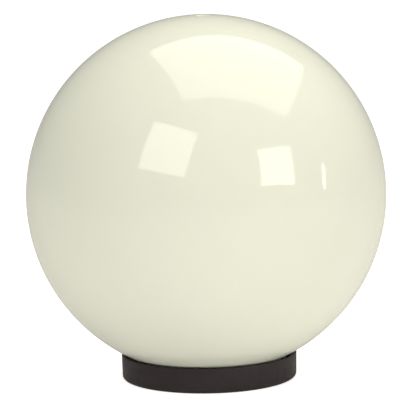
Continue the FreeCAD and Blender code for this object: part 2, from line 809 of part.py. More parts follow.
def make_bracket():
    body = new_body("bracket")
    profile = sketch_on(body, "XZ_Plane")
    inner = "(place.bracket_half_span - dims.bracket_thickness)"
    right = [
        (inner, "place.plate_bottom"),
        (inner, "place.bracket_seat"),
        ("place.foot_reach", "place.bracket_seat"),
        ("place.foot_reach", "place.foot_top"),
        ("place.bracket_half_span", "place.foot_top"),
        ("place.bracket_half_span", "place.plate_top"),
    ]
    left = [(f"-{x}", z) for x, z in reversed(right)]
    outline(profile, right + left)
    pad(body, profile, "dims.bracket_width", midplane=True)
    outside = [(value(inner), value("place.bracket_seat")),
               (value("place.bracket_half_span"), value("place.plate_top"))]
    inside = [(value(inner), value("place.plate_bottom")),
              (value("place.bracket_half_span"), value("place.foot_top"))]
    fillet(body, "dims.bracket_bend", lambda edge: is_bend(edge, outside))
    fillet(body, "dims.bracket_bend - dims.bracket_thickness", lambda edge: is_bend(edge, inside))
    reach = value("place.foot_reach")
    fillet(body, "dims.bracket_foot_round", lambda edge: is_upright_at(edge, reach))
    nipple_hole = sketch_on(body, "XY_Plane", offset=("0", "0", "place.plate_top"))
    circle(nipple_hole, "0", "0", "dims.nipple_radius + dims.screw_hole_clearance")
    pocket(body, nipple_hole, "dims.bracket_thickness")
    earth_hole = sketch_on(body, "XY_Plane", offset=("0", "0", "place.plate_top"))
    circle(earth_hole, "dims.earth_offset", "0", "dims.earth_screw_radius + dims.screw_clearance")
    pocket(body, earth_hole, "dims.bracket_thickness")
    feet_holes = sketch_on(body, "XY_Plane", offset=("0", "0", "place.foot_top"))
    for side in ("", "-"):
        circle(feet_holes, f"{side}place.bracket_screw_offset", "0",
               "dims.bracket_screw_radius + dims.screw_hole_clearance")
    pocket(body, feet_holes, "dims.bracket_thickness")
    for name, side in (("right", ""), ("left", "-")):
        screw(f"bracket_screw_{name}", "bracket", f"{side}place.bracket_screw_offset", "0", "place.foot_top")


def make_earth_terminal():
    """A ring tag under a screw, with a crimped barrel that points away from the lampholder."""
    body = new_body("earth_tag")
    tag = sketch_on(body, "XY_Plane", offset=("0", "0", "place.plate_top"))
    circle(tag, "dims.earth_offset", "0", "dims.earth_tag_radius")
    circle(tag, "dims.earth_offset", "0", "dims.earth_screw_radius + dims.screw_hole_clearance")
    pad(body, tag, "dims.earth_tag_thickness")
    tongue = sketch_on(body, "XY_Plane", offset=("0", "0", "place.plate_top"))
    half = "dims.earth_tongue_width / 2"
    rectangle(tongue, f"dims.earth_offset - {half}", f"dims.earth_offset + {half}",
              "(dims.earth_tag_radius + dims.earth_screw_radius) / 2",
              "dims.earth_barrel_start + dims.earth_barrel_length / 2")
    pad(body, tongue, "dims.earth_tag_thickness")
    barrel = sketch_on(body, "XZ_Plane", offset=("0", "0", "-dims.earth_barrel_start"))
    circle(barrel, "dims.earth_offset", "place.barrel_axis", "dims.earth_barrel_radius")
    pad(body, barrel, "dims.earth_barrel_length", backwards=True)
    bore = sketch_on(body, "XZ_Plane", offset=("0", "0", "-dims.earth_barrel_start"))
    circle(bore, "dims.earth_offset", "place.barrel_axis", "place.wire_bore")
    pocket(body, bore, "dims.earth_barrel_length")
    screw("earth_screw", "earth", "dims.earth_offset", "0", "place.plate_top + dims.earth_tag_thickness")


# ---------------------------------------------------------------------------------------------------------
# Nipple, nut and lock washer that hold the lampholder to the bracket
# ---------------------------------------------------------------------------------------------------------


def make_nipple():
    tube = ring("dims.nipple_bore", "dims.nipple_radius", "place.nipple_bottom", "place.nipple_top")
    turned_piece("nipple", tube)
    nut = new_body("nipple_nut")
    faces = sketch_on(nut, "XY_Plane", offset=("0", "0", "place.nut_bottom"))
    hexagon(faces, "dims.nut_across_flats")
    circle(faces, "0", "0", "place.nipple_seat")
    pad(nut, faces, "dims.nut_height")
    hole = "dims.nipple_radius + dims.screw_hole_clearance"
    plate = ring(hole, "dims.lock_washer_radius", "place.nut_top", "place.plate_bottom")
    washer = turned_piece("lock_washer", plate)
    notch = sketch_on(washer, "XY_Plane", offset=("0", "0", "place.plate_bottom"))
    rim = "dims.lock_washer_radius"
    rectangle(notch, f"{rim} - dims.lock_washer_thickness", f"{rim} + dims.lock_washer_thickness",
              "-dims.lock_washer_thickness / 2", "dims.lock_washer_thickness / 2")
    cut = pocket(washer, notch, "dims.lock_washer_thickness")
    around(washer, [cut], "dims.lock_washer_teeth", grows=False)


# ---------------------------------------------------------------------------------------------------------
# Lampholder
# ---------------------------------------------------------------------------------------------------------


def make_lampholder():
    spigot_bore = "dims.core_radius + dims.core_clearance"
    ledge = "dims.core_radius - dims.core_ledge"
    dome = turned_piece("holder_dome", [
        ("place.nipple_seat", "place.plate_top"),
        ("dims.dome_entry_radius", "place.plate_top"),
        ("dims.dome_entry_radius", "place.plate_top + dims.dome_entry_height"),
        ("dims.dome_radius", "place.plate_top + dims.dome_flare_height"),
        ("dims.dome_radius", "place.dome_top"),
        ("dims.spigot_radius", "place.dome_top"),
        ("dims.spigot_radius", "place.spigot_top"),
        (spigot_bore, "place.spigot_top"),
        (spigot_bore, "place.core_bottom"),
        (ledge, "place.core_bottom"),
        (ledge, "place.plate_top + dims.dome_flare_height - dims.dome_wall"),
        ("dims.dome_entry_radius + dims.dome_wall", "place.nipple_top"),
        ("place.nipple_seat", "place.nipple_top"),
    ])
    shoulder = (value("dims.dome_radius"), value("place.plate_top + dims.dome_flare_height"))
    fillet(dome, "dims.dome_shoulder_round", lambda edge: is_ring(edge, *shoulder))
    thread_bore = "dims.spigot_radius + dims.skirt_clearance"
    grip_top = "place.dome_top + dims.skirt_grip_height"
    roof = "place.spigot_top + dims.skirt_clearance"
    turned_piece("holder_skirt", [
        (thread_bore, "place.dome_top"),
        ("dims.skirt_radius", "place.dome_top"),
        ("dims.skirt_radius", grip_top),
        ("dims.skirt_barrel_radius", grip_top),
        ("dims.skirt_barrel_radius", "place.skirt_top"),
        ("dims.skirt_mouth_radius", "place.skirt_top"),
        ("dims.skirt_mouth_radius", roof),
        (thread_bore, roof),
    ])
    make_core()
    make_contacts()


def make_core():
    core = turned_piece("holder_core", [
        ("0", "place.core_bottom"),
        ("dims.core_radius", "place.core_bottom"),
        ("dims.core_radius", "place.core_top"),
        ("0", "place.core_top"),
    ])
    wells = sketch_on(core, "XY_Plane", offset=("0", "0", "place.core_bottom"))
    well = "dims.terminal_radius + dims.clamp_tube_clearance"
    for side in ("", "-"):
        circle(wells, f"{side}dims.terminal_offset", "0", well)
    pocket(core, wells, "dims.terminal_length", backwards=True)
    for name, side in (("neutral", ""), ("live", "-")):
        top = "place.core_bottom + dims.terminal_length"
        profile = ring("place.wire_bore", "dims.terminal_radius", "place.core_bottom", top)
        terminal = turned_piece(f"holder_terminal_{name}", profile)
        terminal.setExpression("Placement.Base.x", f"{side}dims.terminal_offset")


def make_contacts():
    """The plain sleeve that stands for the screw shell, and the sprung tongue under the lamp's tip."""
    inner = "dims.sleeve_radius - dims.sleeve_wall"
    flange_top = "place.core_top + dims.sleeve_wall"
    turned_piece("holder_sleeve", [
        ("dims.sleeve_flange_inner", "place.core_top"),
        ("dims.sleeve_radius", "place.core_top"),
        ("dims.sleeve_radius", "place.core_top + dims.sleeve_height"),
        (inner, "place.core_top + dims.sleeve_height"),
        (inner, flange_top),
        ("dims.sleeve_flange_inner", flange_top),
    ])
    body = new_body("holder_contact")
    low, high = "place.core_top", "place.tip_bottom - dims.tongue_gap"
    start, foot = "-dims.tongue_start", "dims.tongue_foot - dims.tongue_start"
    profile = outline(sketch_on(body, "XZ_Plane"), [
        (start, low),
        (foot, low),
        ("-dims.tongue_reach", f"{high} - dims.tongue_thickness"),
        ("dims.tongue_reach", f"{high} - dims.tongue_thickness"),
        ("dims.tongue_reach", high),
        ("-dims.tongue_reach", high),
        (foot, f"{low} + dims.tongue_thickness"),
        (start, f"{low} + dims.tongue_thickness"),
    ])
    pad(body, profile, "dims.tongue_width", midplane=True)


# ---------------------------------------------------------------------------------------------------------
# Lamp
# ---------------------------------------------------------------------------------------------------------


def make_lamp_tip():
    turned_piece("lamp_contact", [
        ("0", "place.tip_bottom"),
        ("dims.lamp_tip_radius", "place.tip_bottom"),
        ("dims.lamp_tip_radius", "place.tip_top"),
        ("0", "place.tip_top"),
    ])
    turned_piece("lamp_insulator", [
        ("0", "place.tip_top"),
        ("dims.insulator_foot_radius", "place.tip_top"),
        ("dims.insulator_top_radius", "place.cap_bottom"),
        ("0", "place.cap_bottom"),
    ])


def make_lamp_shell():
    cap_inner = "dims.cap_radius - dims.cap_wall"
    end_top = "place.cap_bottom + dims.cap_wall"
    turned_piece("lamp_cap", [
        ("dims.cap_end_inner", "place.cap_bottom"),
        ("dims.cap_radius", "place.cap_bottom"),
        ("dims.cap_radius", "place.cap_top"),
        (cap_inner, "place.cap_top"),
        (cap_inner, end_top),
        ("dims.cap_end_inner", end_top),
    ])
    insert_bottom = "place.cap_top - dims.housing_insert"
    insert_inner = "place.insert_radius - dims.housing_wall"
    neck_inner = "dims.housing_neck_radius - dims.housing_wall"
    mouth = "place.flare_centre - sqrt(place.flare_inner^2 - place.flare_rise^2)"
    centre = ("place.flare_centre", "place.flare_bottom")
    turned_piece("lamp_housing", [
        (insert_inner, insert_bottom),
        ("place.insert_radius", insert_bottom),
        ("place.insert_radius", "place.cap_top"),
        ("dims.housing_neck_radius", "place.cap_top"),
        ("dims.housing_neck_radius", "place.flare_bottom", (*centre, "right")),
        ("dims.housing_radius", "place.flare_top"),
        (mouth, "place.flare_top", (*centre, "left")),
        (neck_inner, "place.flare_bottom"),
        (insert_inner, "place.flare_bottom - dims.housing_wall"),
    ])
    inside = "(dims.diffuser_radius - dims.diffuser_wall)"
    brim = f"sqrt({inside}^2 - (place.diffuser_centre - place.flare_top)^2)"
    turned_piece("lamp_diffuser", [
        ("dims.housing_radius", "place.flare_top", ("0", "place.diffuser_centre", "left")),
        ("0", "place.diffuser_centre + dims.diffuser_radius"),
        ("0", f"place.diffuser_centre + {inside}", ("0", "place.diffuser_centre", "right")),
        (brim, "place.flare_top"),
    ])


def make_lamp_electronics():
    turned_piece("led_board", [
        ("0", "place.board_bottom"),
        ("place.board_room - dims.led_board_clearance", "place.board_bottom"),
        ("place.board_room - dims.led_board_clearance", "place.board_top"),
        ("0", "place.board_top"),
    ])
    half_ring = "dims.led_ring_width / 2"
    tray_top = "place.board_top + dims.led_ring_thickness"
    tray = ring(f"dims.led_circle_radius - {half_ring}", f"dims.led_circle_radius + {half_ring}",
                "place.board_top", tray_top)
    leds = turned_piece("led_ring", tray)
    chip = sketch_on(leds, "XY_Plane", offset=("0", "0", "place.board_top"))
    half = "dims.led_side / 2"
    rectangle(chip, f"dims.led_circle_radius - {half}", f"dims.led_circle_radius + {half}", f"-{half}", half)
    around(leds, [pad(leds, chip, "dims.led_ring_thickness + dims.led_height")], "dims.led_count")
    driver = new_body("lamp_driver")
    bottom = "place.board_bottom - dims.driver_length"
    board = sketch_on(driver, "XZ_Plane")
    half_width = "dims.driver_width / 2"
    rectangle(board, f"-{half_width}", half_width, bottom, f"{bottom} + dims.driver_length")
    pad(driver, board, "dims.driver_thickness", midplane=True)
    capacitor_bottom = f"{bottom} + dims.capacitor_rise - dims.capacitor_length / 2"
    capacitor = sketch_on(driver, "XY_Plane", offset=("0", "0", capacitor_bottom))
    circle(capacitor, "0", "-dims.capacitor_radius", "dims.capacitor_radius")
    pad(driver, capacitor, "dims.capacitor_length")


# ---------------------------------------------------------------------------------------------------------
# Terminal block
# ---------------------------------------------------------------------------------------------------------


def pole_place(number):
    """How far along X the pole stands, with the row centred."""
    return f"(({number} - (dims.block_poles - 1) / 2) * dims.block_pitch)"


def make_terminal_block():
    body = new_body("terminal_block")
    poles = range(int(value("dims.block_poles")))
    half_pole = "dims.block_pole_width / 2"
    front = sketch_on(body, "XZ_Plane", offset=("0", "0", "-dims.block_offset"))
    for number in poles:
        rectangle(front, f"{pole_place(number)} - {half_pole}", f"{pole_place(number)} + {half_pole}",
                  "dims.floor_thickness", "place.block_top")
    pad(body, front, "dims.block_depth", midplane=True)
    web = sketch_on(body, "XZ_Plane", offset=("0", "0", "-dims.block_offset"))
    rectangle(web, pole_place(0), pole_place(poles[-1]), "dims.floor_thickness", "place.block_web_top")
    pad(body, web, "dims.block_web_depth", midplane=True)
    bores = sketch_on(body, "XZ_Plane", offset=("0", "0", "-dims.block_offset"))
    wells = sketch_on(body, "XY_Plane", offset=("0", "0", "place.block_top"))
    bore = "dims.clamp_tube_radius + dims.clamp_tube_clearance"
    for number in poles:
        circle(bores, pole_place(number), "place.tube_axis", bore)
        for side in ("+", "-"):
            circle(wells, pole_place(number), f"dims.block_offset {side} dims.pole_screw_spread / 2",
                   "place.block_well_radius")
    pocket(body, bores, "dims.block_depth", midplane=True)
    pocket(body, wells, "place.block_top - place.tube_axis")
    holes = sketch_on(body, "XY_Plane", offset=("0", "0", "place.block_web_top"))
    for side in ("", "-"):
        circle(holes, f"{side}dims.block_pitch / 2", "dims.block_offset",
               "dims.block_screw_radius + dims.screw_hole_clearance")
    pocket(body, holes, "dims.block_web_height")
    for name, side in (("right", ""), ("left", "-")):
        screw(f"block_screw_{name}", "block", f"{side}dims.block_pitch / 2", "dims.block_offset",
              "place.block_web_top")
    for number, name in enumerate(("live", "neutral", "earth")):
        make_pole_clamp(name, number)


def make_pole_clamp(name, number):
    """A brass tube with two clamping screws, inside one pole."""
    body = new_body(f"pole_clamp_{name}")
    length = "dims.block_depth - 2 * dims.clamp_tube_recess"
    tube = sketch_on(body, "XZ_Plane", offset=("0", "0", "-dims.block_offset"))
    circle(tube, pole_place(number), "place.tube_axis", "dims.clamp_tube_radius")
    circle(tube, pole_place(number), "place.tube_axis", "dims.clamp_tube_bore")
    pad(body, tube, length, midplane=True)
    taps = sketch_on(body, "XY_Plane", offset=("0", "0", "place.block_top"))
    for side in ("+", "-"):
        circle(taps, pole_place(number), f"dims.block_offset {side} dims.pole_screw_spread / 2",
               "dims.pole_screw_radius + dims.screw_clearance")
    pocket(body, taps, "place.block_top - place.tube_axis")
    for end, side in (("outer", "+"), ("inner", "-")):
        screw(f"pole_screw_{name}_{end}", "pole", pole_place(number),
              f"dims.block_offset {side} dims.pole_screw_spread / 2", "place.pole_head_seat")


# ---------------------------------------------------------------------------------------------------------
# Wires between the terminal block, the lampholder and the earth tag
# ---------------------------------------------------------------------------------------------------------


def make_wires():
    rise = value("place.nipple_top")
    lead = value("dims.wire_lead")
    start, axis = value("place.wire_start"), value("place.tube_axis")
    mouth = value("place.block_front") - lead
    terminal = value("place.core_bottom + dims.terminal_length / 2")
    bend_low = rise + value("dims.wire_radius")
    bend_high = value("place.core_bottom") - value("dims.wire_radius") * 2
    for number, name, side in ((0, "live", -1), (1, "neutral", 1)):
        across = value(pole_place(number))
        inner = side * value("dims.wire_half_gap")
        outer = side * value("dims.terminal_offset")
        wire(f"wire_{name}", [
            (across, start, axis),
            (across, mouth, axis),
            (inner, 0, axis),
            (inner, 0, bend_low),
            (outer, 0, bend_high),
            (outer, 0, terminal),
        ])
    across = value(pole_place(2))
    earth = value("dims.earth_offset")
    turn_back = (value("place.block_front") + value("dims.earth_barrel_start + dims.earth_barrel_length")) / 2
    wire("wire_earth", [
        (across, start, axis),
        (across, turn_back, axis),
        (earth, turn_back, value("place.barrel_axis")),
        (earth, value("dims.earth_barrel_start + 1"), value("place.barrel_axis")),
    ])


make_globe()
make_collar()
make_seals()
make_fixing_washers()
make_grommet()
make_cable_clamp()
make_bracket()
make_earth_terminal()
make_nipple()
make_lampholder()
make_lamp_tip()
make_lamp_shell()
make_lamp_electronics()
make_terminal_block()
make_wires()
doc.recompute()

# ---------------------------------------------------------------------------------------------------------
# Check every object, then write one file for each piece
# ---------------------------------------------------------------------------------------------------------

for item in doc.Objects:
    if "Invalid" in item.State or "Error" in item.State:
        raise ValueError(f"{item.Label} did not recompute: {item.State}")

for piece in pieces:
    if piece.Shape.isNull() or not piece.Shape.isValid():
        raise ValueError(f"{piece.Label} has no valid shape")

os.makedirs("parts", exist_ok=True)
for piece in pieces:
    piece.Shape.exportStep(f"parts/{piece.Label}.step")
    print(f"{piece.Label}: {piece.Shape.Volume:.1f} mm3, {len(piece.Shape.Solids)} solid")
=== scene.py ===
# %% [markdown]
# # A globe light for a fence post
#
# The object is a garden light that caps a post: a cream-white opal globe in a low, dark round collar.
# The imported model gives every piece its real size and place, and this lesson gives the pieces their looks.
# First the frame is loaded.  Everything below takes its sizes from it, in metres.

# %% Load the frame
import json
import math

import bpy
from mathutils import Matrix, Vector


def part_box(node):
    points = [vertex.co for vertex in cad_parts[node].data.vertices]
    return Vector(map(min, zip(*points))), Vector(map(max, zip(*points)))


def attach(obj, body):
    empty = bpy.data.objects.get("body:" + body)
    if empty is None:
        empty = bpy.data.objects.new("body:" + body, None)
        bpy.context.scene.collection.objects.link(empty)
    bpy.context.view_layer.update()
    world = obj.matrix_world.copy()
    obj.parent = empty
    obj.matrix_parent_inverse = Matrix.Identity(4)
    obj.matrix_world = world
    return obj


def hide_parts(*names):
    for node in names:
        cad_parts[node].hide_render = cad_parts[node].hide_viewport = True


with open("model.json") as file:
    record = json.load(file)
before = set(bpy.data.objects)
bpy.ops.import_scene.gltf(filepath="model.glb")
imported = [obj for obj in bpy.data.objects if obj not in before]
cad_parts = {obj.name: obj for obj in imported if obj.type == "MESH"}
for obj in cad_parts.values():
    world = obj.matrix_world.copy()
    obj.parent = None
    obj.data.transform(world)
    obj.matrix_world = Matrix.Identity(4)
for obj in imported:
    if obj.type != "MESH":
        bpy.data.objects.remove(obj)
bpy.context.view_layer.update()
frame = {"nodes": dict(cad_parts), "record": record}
MM = 0.001
print("nodes:", len(frame["nodes"]))

# %% Sizes that several pieces share, measured on the frame
GLOBE_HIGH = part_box("globe")[1]
COLLAR_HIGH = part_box("collar")[1]
GLOBE_RADIUS = 125 * MM
GATE_RADIUS = 4.8 * MM
GATE_DEPTH = 1.4 * MM
GLOBE_CENTRE = GLOBE_HIGH[2] - math.sqrt(GLOBE_RADIUS ** 2 - GATE_RADIUS ** 2)
COLLAR_RADIUS = COLLAR_HIGH[0]
COLLAR_TOP = COLLAR_HIGH[2]
print(f"globe centre {GLOBE_CENTRE:.4f}, collar top {COLLAR_TOP:.4f}")

# %% [markdown]
# ## Camera
#
# A long lens a few metres away, a little above the middle of the globe and looking slightly down on it.
# That keeps the globe's outline round and shows the collar's rim as a thin ellipse.

# %% Camera
CAMERA_HEIGHT_ANGLE = math.radians(9.6)
CAMERA_DISTANCE = 3.083
CAMERA_ROLL = math.radians(-1.1)
LENS = 400
SENSOR = 36
SHIFT = (-0.0153, -0.0145)


def aim_camera():
    back = Vector((0, -math.cos(CAMERA_HEIGHT_ANGLE), math.sin(CAMERA_HEIGHT_ANGLE)))
    centre = Vector((0, 0, GLOBE_CENTRE))
    bpy.ops.object.camera_add(location=centre + back * CAMERA_DISTANCE)
    camera = bpy.context.object
    camera.data.lens = LENS
    camera.data.sensor_width = SENSOR
    turn = back.to_track_quat("Z", "Y").to_matrix() @ Matrix.Rotation(CAMERA_ROLL, 3, "Z")
    camera.rotation_euler = turn.to_euler()
    camera.data.shift_x, camera.data.shift_y = SHIFT
    bpy.context.scene.camera = camera
    return camera


camera = aim_camera()
print("camera at", [round(c, 3) for c in camera.location])

# %% [markdown]
# ## Floor and light
#
# The light is a white studio: a pale floor, an even grey-white surround, and softboxes.  A glossy globe is
# a mirror of its studio, so each softbox shows on it as a small bright window.  Each one is therefore placed
# by the direction in which the globe sees it: its turn round the object (0 is towards the camera, positive
# to the right) and its height above the horizon.

# %% Floor
FLOOR_SIZE = 24
FLOOR_GAP = 0.2 * MM
FLOOR_PAINT = (0.9, 0.9, 0.9)
FLOOR_MIRRORED = (0.52, 0.49, 0.44)
FLOOR_LIFT = 0.7
FLOOR_GLOW = 0.165


def make_floor():
    bpy.ops.mesh.primitive_plane_add(size=FLOOR_SIZE, location=(0, 0, -FLOOR_GAP))
    floor = bpy.context.object
    floor.name = "floor"
    material = bpy.data.materials.new("studio_floor")
    material.use_nodes = True
    nodes, links = material.node_tree.nodes, material.node_tree.links
    shader = nodes["Principled BSDF"]
    shader.inputs["Roughness"].default_value = 0.7
    shader.inputs["Emission Color"].default_value = (1, 1, 1, 1)
    path = nodes.new("ShaderNodeLightPath")
    paint = nodes.new("ShaderNodeMixRGB")
    paint.inputs["Color1"].default_value = (*FLOOR_PAINT, 1)
    paint.inputs["Color2"].default_value = (*FLOOR_MIRRORED, 1)
    links.new(path.outputs["Is Glossy Ray"], paint.inputs["Fac"])
    links.new(paint.outputs["Color"], shader.inputs["Base Color"])
    lift = nodes.new("ShaderNodeMapRange")
    lift.inputs["To Min"].default_value = FLOOR_GLOW
    lift.inputs["To Max"].default_value = FLOOR_LIFT
    links.new(path.outputs["Is Camera Ray"], lift.inputs["Value"])
    links.new(lift.outputs["Result"], shader.inputs["Emission Strength"])
    floor.data.materials.append(material)


make_floor()
print("floor", FLOOR_SIZE, "m wide")

# %% Even light from all round
AMBIENT = (0.372, 0.37, 0.378)
MIRRORED = (0.26, 0.26, 0.25)


def make_surround():
    """White to the camera, even grey-white as light, and a darker grey in reflections."""
    world = bpy.data.worlds.new("studio")
    bpy.context.scene.world = world
    world.use_nodes = True
    nodes, links = world.node_tree.nodes, world.node_tree.links
    nodes.clear()
    path = nodes.new("ShaderNodeLightPath")
    in_mirror = nodes.new("ShaderNodeMixRGB")
    in_mirror.inputs["Color1"].default_value = (*AMBIENT, 1)
    in_mirror.inputs["Color2"].default_value = (*MIRRORED, 1)
    to_camera = nodes.new("ShaderNodeMixRGB")
    to_camera.inputs["Color2"].default_value = (1, 1, 1, 1)
    background = nodes.new("ShaderNodeBackground")
    output = nodes.new("ShaderNodeOutputWorld")
    links.new(path.outputs["Is Glossy Ray"], in_mirror.inputs["Fac"])
    links.new(in_mirror.outputs["Color"], to_camera.inputs["Color1"])
    links.new(path.outputs["Is Camera Ray"], to_camera.inputs["Fac"])
    links.new(to_camera.outputs["Color"], background.inputs["Color"])
    links.new(background.outputs["Background"], output.inputs["Surface"])


make_surround()
bpy.context.scene.view_settings.view_transform = "Standard"
print("surround set")

# %% Softboxes
# name, turn, height, roll (degrees), distance, width, height (metres), power (watts)
SOFTBOXES = [
    ("overhead", 127, 74, -118, 1.17, 1.36, 1.23, 11),
    ("left_window", -27.9, 35.8, -5.7, 2.06, 1.10, 1.09, 14),
    ("right_window", 48.2, 21.4, -8.3, 2.12, 0.83, 0.82, 11.5),
    ("right_strip", 80.3, 9.1, -16, 2.19, 0.09, 0.46, 1),
    ("back_strip", 126.9, -9.9, -37, 1.99, 0.09, 0.29, 1.1),
    ("low_strip", 134.1, -21.8, -44, 2.00, 0.06, 0.18, 0.4),
]
LAMP_WARMTH = (1.0, 0.975, 0.86)


def add_softbox(name, turn, height, roll, distance, width, tall, power):
    turn, height, roll = (math.radians(angle) for angle in (turn, height, roll))
    out = Vector((math.sin(turn) * math.cos(height), -math.cos(turn) * math.cos(height), math.sin(height)))
    bpy.ops.object.light_add(type="AREA", location=Vector((0, 0, GLOBE_CENTRE)) + out * distance)
    light = bpy.context.object
    light.name = name
    light.data.shape = "RECTANGLE"
    light.data.size = width
    light.data.size_y = tall
    light.data.energy = power
    light.data.color = LAMP_WARMTH
    facing = out.to_track_quat("Z", "Y").to_matrix() @ Matrix.Rotation(roll, 3, "Z")
    light.rotation_euler = facing.to_euler()


for softbox in SOFTBOXES:
    add_softbox(*softbox)
print(len(SOFTBOXES), "softboxes")

# %% [markdown]
# ## Materials
#
# Every finish is made of nodes on Object coordinates, so it stays on its piece in any pose.  Noise breaks up
# the colour, the gloss and the surface a little, at the scale that the real material shows.

# %% Helpers for materials


def new_material(name, colour, roughness, metallic=0.0):
    material = bpy.data.materials.new(name)
    material.use_nodes = True
    shader = material.node_tree.nodes["Principled BSDF"]
    shader.inputs["Base Color"].default_value = (*colour, 1)
    shader.inputs["Roughness"].default_value = roughness
    shader.inputs["Metallic"].default_value = metallic
    return material


def noise(material, scale, detail=3.0, stretch=(1, 1, 1)):
    """A noise pattern on the piece's own place, in repeats per metre."""
    nodes, links = material.node_tree.nodes, material.node_tree.links
    place = nodes.new("ShaderNodeTexCoord")
    mapping = nodes.new("ShaderNodeMapping")
    mapping.inputs["Scale"].default_value = stretch
    pattern = nodes.new("ShaderNodeTexNoise")
    pattern.inputs["Scale"].default_value = scale
    pattern.inputs["Detail"].default_value = detail
    links.new(place.outputs["Object"], mapping.inputs["Vector"])
    links.new(mapping.outputs["Vector"], pattern.inputs["Vector"])
    return pattern.outputs["Fac"]


def vary_colour(material, pattern, dark, light):
    nodes, links = material.node_tree.nodes, material.node_tree.links
    ramp = nodes.new("ShaderNodeValToRGB")
    ramp.color_ramp.elements[0].position = 0.3
    ramp.color_ramp.elements[0].color = (*dark, 1)
    ramp.color_ramp.elements[1].position = 0.7
    ramp.color_ramp.elements[1].color = (*light, 1)
    links.new(pattern, ramp.inputs["Fac"])
    links.new(ramp.outputs["Color"], nodes["Principled BSDF"].inputs["Base Color"])


def vary_roughness(material, pattern, low, high):
    nodes, links = material.node_tree.nodes, material.node_tree.links
    spread = nodes.new("ShaderNodeMapRange")
    spread.inputs["From Min"].default_value = 0.3
    spread.inputs["From Max"].default_value = 0.7
    spread.inputs["To Min"].default_value = low
    spread.inputs["To Max"].default_value = high
    links.new(pattern, spread.inputs["Value"])
    links.new(spread.outputs["Result"], nodes["Principled BSDF"].inputs["Roughness"])


def add_bump(material, pattern, depth):
    """Raises the surface by the pattern, by up to depth metres."""
    nodes, links = material.node_tree.nodes, material.node_tree.links
    bump = nodes.new("ShaderNodeBump")
    bump.inputs["Distance"].default_value = depth
    links.new(pattern, bump.inputs["Height"])
    links.new(bump.outputs["Normal"], nodes["Principled BSDF"].inputs["Normal"])


def shade(colour, factor):
    return tuple(min(1.0, channel * factor) for channel in colour)


def plain_finish(name, colour, roughness, metallic=0.0, grain=900, depth=0.00003, spread=0.08):
    """A moulded, rolled or turned finish: one colour, slightly cloudy, with a fine grain."""
    material = new_material(name, colour, roughness, metallic)
    vary_colour(material, noise(material, grain / 8), shade(colour, 1 - spread), shade(colour, 1 + spread))
    vary_roughness(material, noise(material, grain / 3), roughness * 0.85, min(1, roughness * 1.2))
    add_bump(material, noise(material, grain), depth)
    return material


print("material helpers ready")

# %% [markdown]
# ### Opal acrylic
#
# Opal acrylic is clear plastic full of fine white pigment.  Light goes a few millimetres in and comes out
# again, which softens the shading, and the skin stays as glossy as glass.

# %% Opal acrylic
OPAL = (0.745, 0.755, 0.655)


def opal_acrylic():
    material = new_material("opal_acrylic", OPAL, 0.06)
    shader = material.node_tree.nodes["Principled BSDF"]
    shader.inputs["IOR"].default_value = 1.49
    shader.inputs["Subsurface Weight"].default_value = 0.35
    shader.inputs["Subsurface Radius"].default_value = (1.0, 0.95, 0.8)
    shader.inputs["Subsurface Scale"].default_value = 4 * MM
    vary_colour(material, noise(material, 9, 2.0), shade(OPAL, 0.985), shade(OPAL, 1.01))
    vary_roughness(material, noise(material, 14, 2.0), 0.05, 0.09)
    add_bump(material, noise(material, 22, 1.0), 0.00035)
    return material


OPAL_FINISH = opal_acrylic()
print(OPAL_FINISH.name)

# %% [markdown]
# ### Dark moulded plastic
#
# The collar is injection-moulded in a warm near-black, with the fine spark-eroded grain of its mould.

# %% Dark moulded plastic
COLLAR_COLOUR = (0.0185, 0.0116, 0.0150)


def collar_plastic():
    material = new_material("collar_plastic", COLLAR_COLOUR, 0.5)
    material.node_tree.nodes["Principled BSDF"].inputs["Specular IOR Level"].default_value = 0.42
    vary_colour(material, noise(material, 60, 4.0), shade(COLLAR_COLOUR, 0.88), shade(COLLAR_COLOUR, 1.14))
    vary_roughness(material, noise(material, 300), 0.45, 0.58)
    add_bump(material, noise(material, 2600, 2.0), 0.00005)
    return material


COLLAR_FINISH = collar_plastic()
print(COLLAR_FINISH.name)

# %% Other finishes
# colour, roughness, metallic, and then grain, depth and spread where the finish is finer than usual
SIMPLE_FINISHES = {
    "seal_rubber": ((0.022, 0.022, 0.023), 0.62, 0.0),
    "gasket_foam": ((0.035, 0.035, 0.037), 0.9, 0.0),
    "zinc_steel": ((0.60, 0.61, 0.62), 0.34, 1.0),
    "brass": ((0.78, 0.56, 0.24), 0.28, 1.0),
    "holder_plastic": ((0.018, 0.018, 0.019), 0.36, 0.0),
    "holder_ceramic": ((0.80, 0.78, 0.72), 0.3, 0.0),
    "cap_nickel": ((0.66, 0.65, 0.62), 0.26, 1.0),
    "insulator_black": ((0.010, 0.010, 0.011), 0.12, 0.0),
    "lamp_white": ((0.80, 0.80, 0.78), 0.3, 0.0, 900, 0.00002, 0.015),
    "lamp_frost": ((0.86, 0.86, 0.84), 0.5, 0.0, 2400, 0.00002, 0.01),
    "board_aluminium": ((0.72, 0.73, 0.74), 0.4, 1.0),
    "led_phosphor": ((0.85, 0.68, 0.12), 0.5, 0.0),
    "circuit_board": ((0.03, 0.17, 0.07), 0.4, 0.0),
    "block_nylon": ((0.76, 0.76, 0.70), 0.4, 0.0),
    "wire_brown": ((0.13, 0.055, 0.025), 0.42, 0.0),
    "wire_blue": ((0.03, 0.11, 0.42), 0.42, 0.0),
    "wire_green_yellow": ((0.55, 0.62, 0.04), 0.42, 0.0),
}
FINISHES = {name: plain_finish(name, *values) for name, values in SIMPLE_FINISHES.items()}


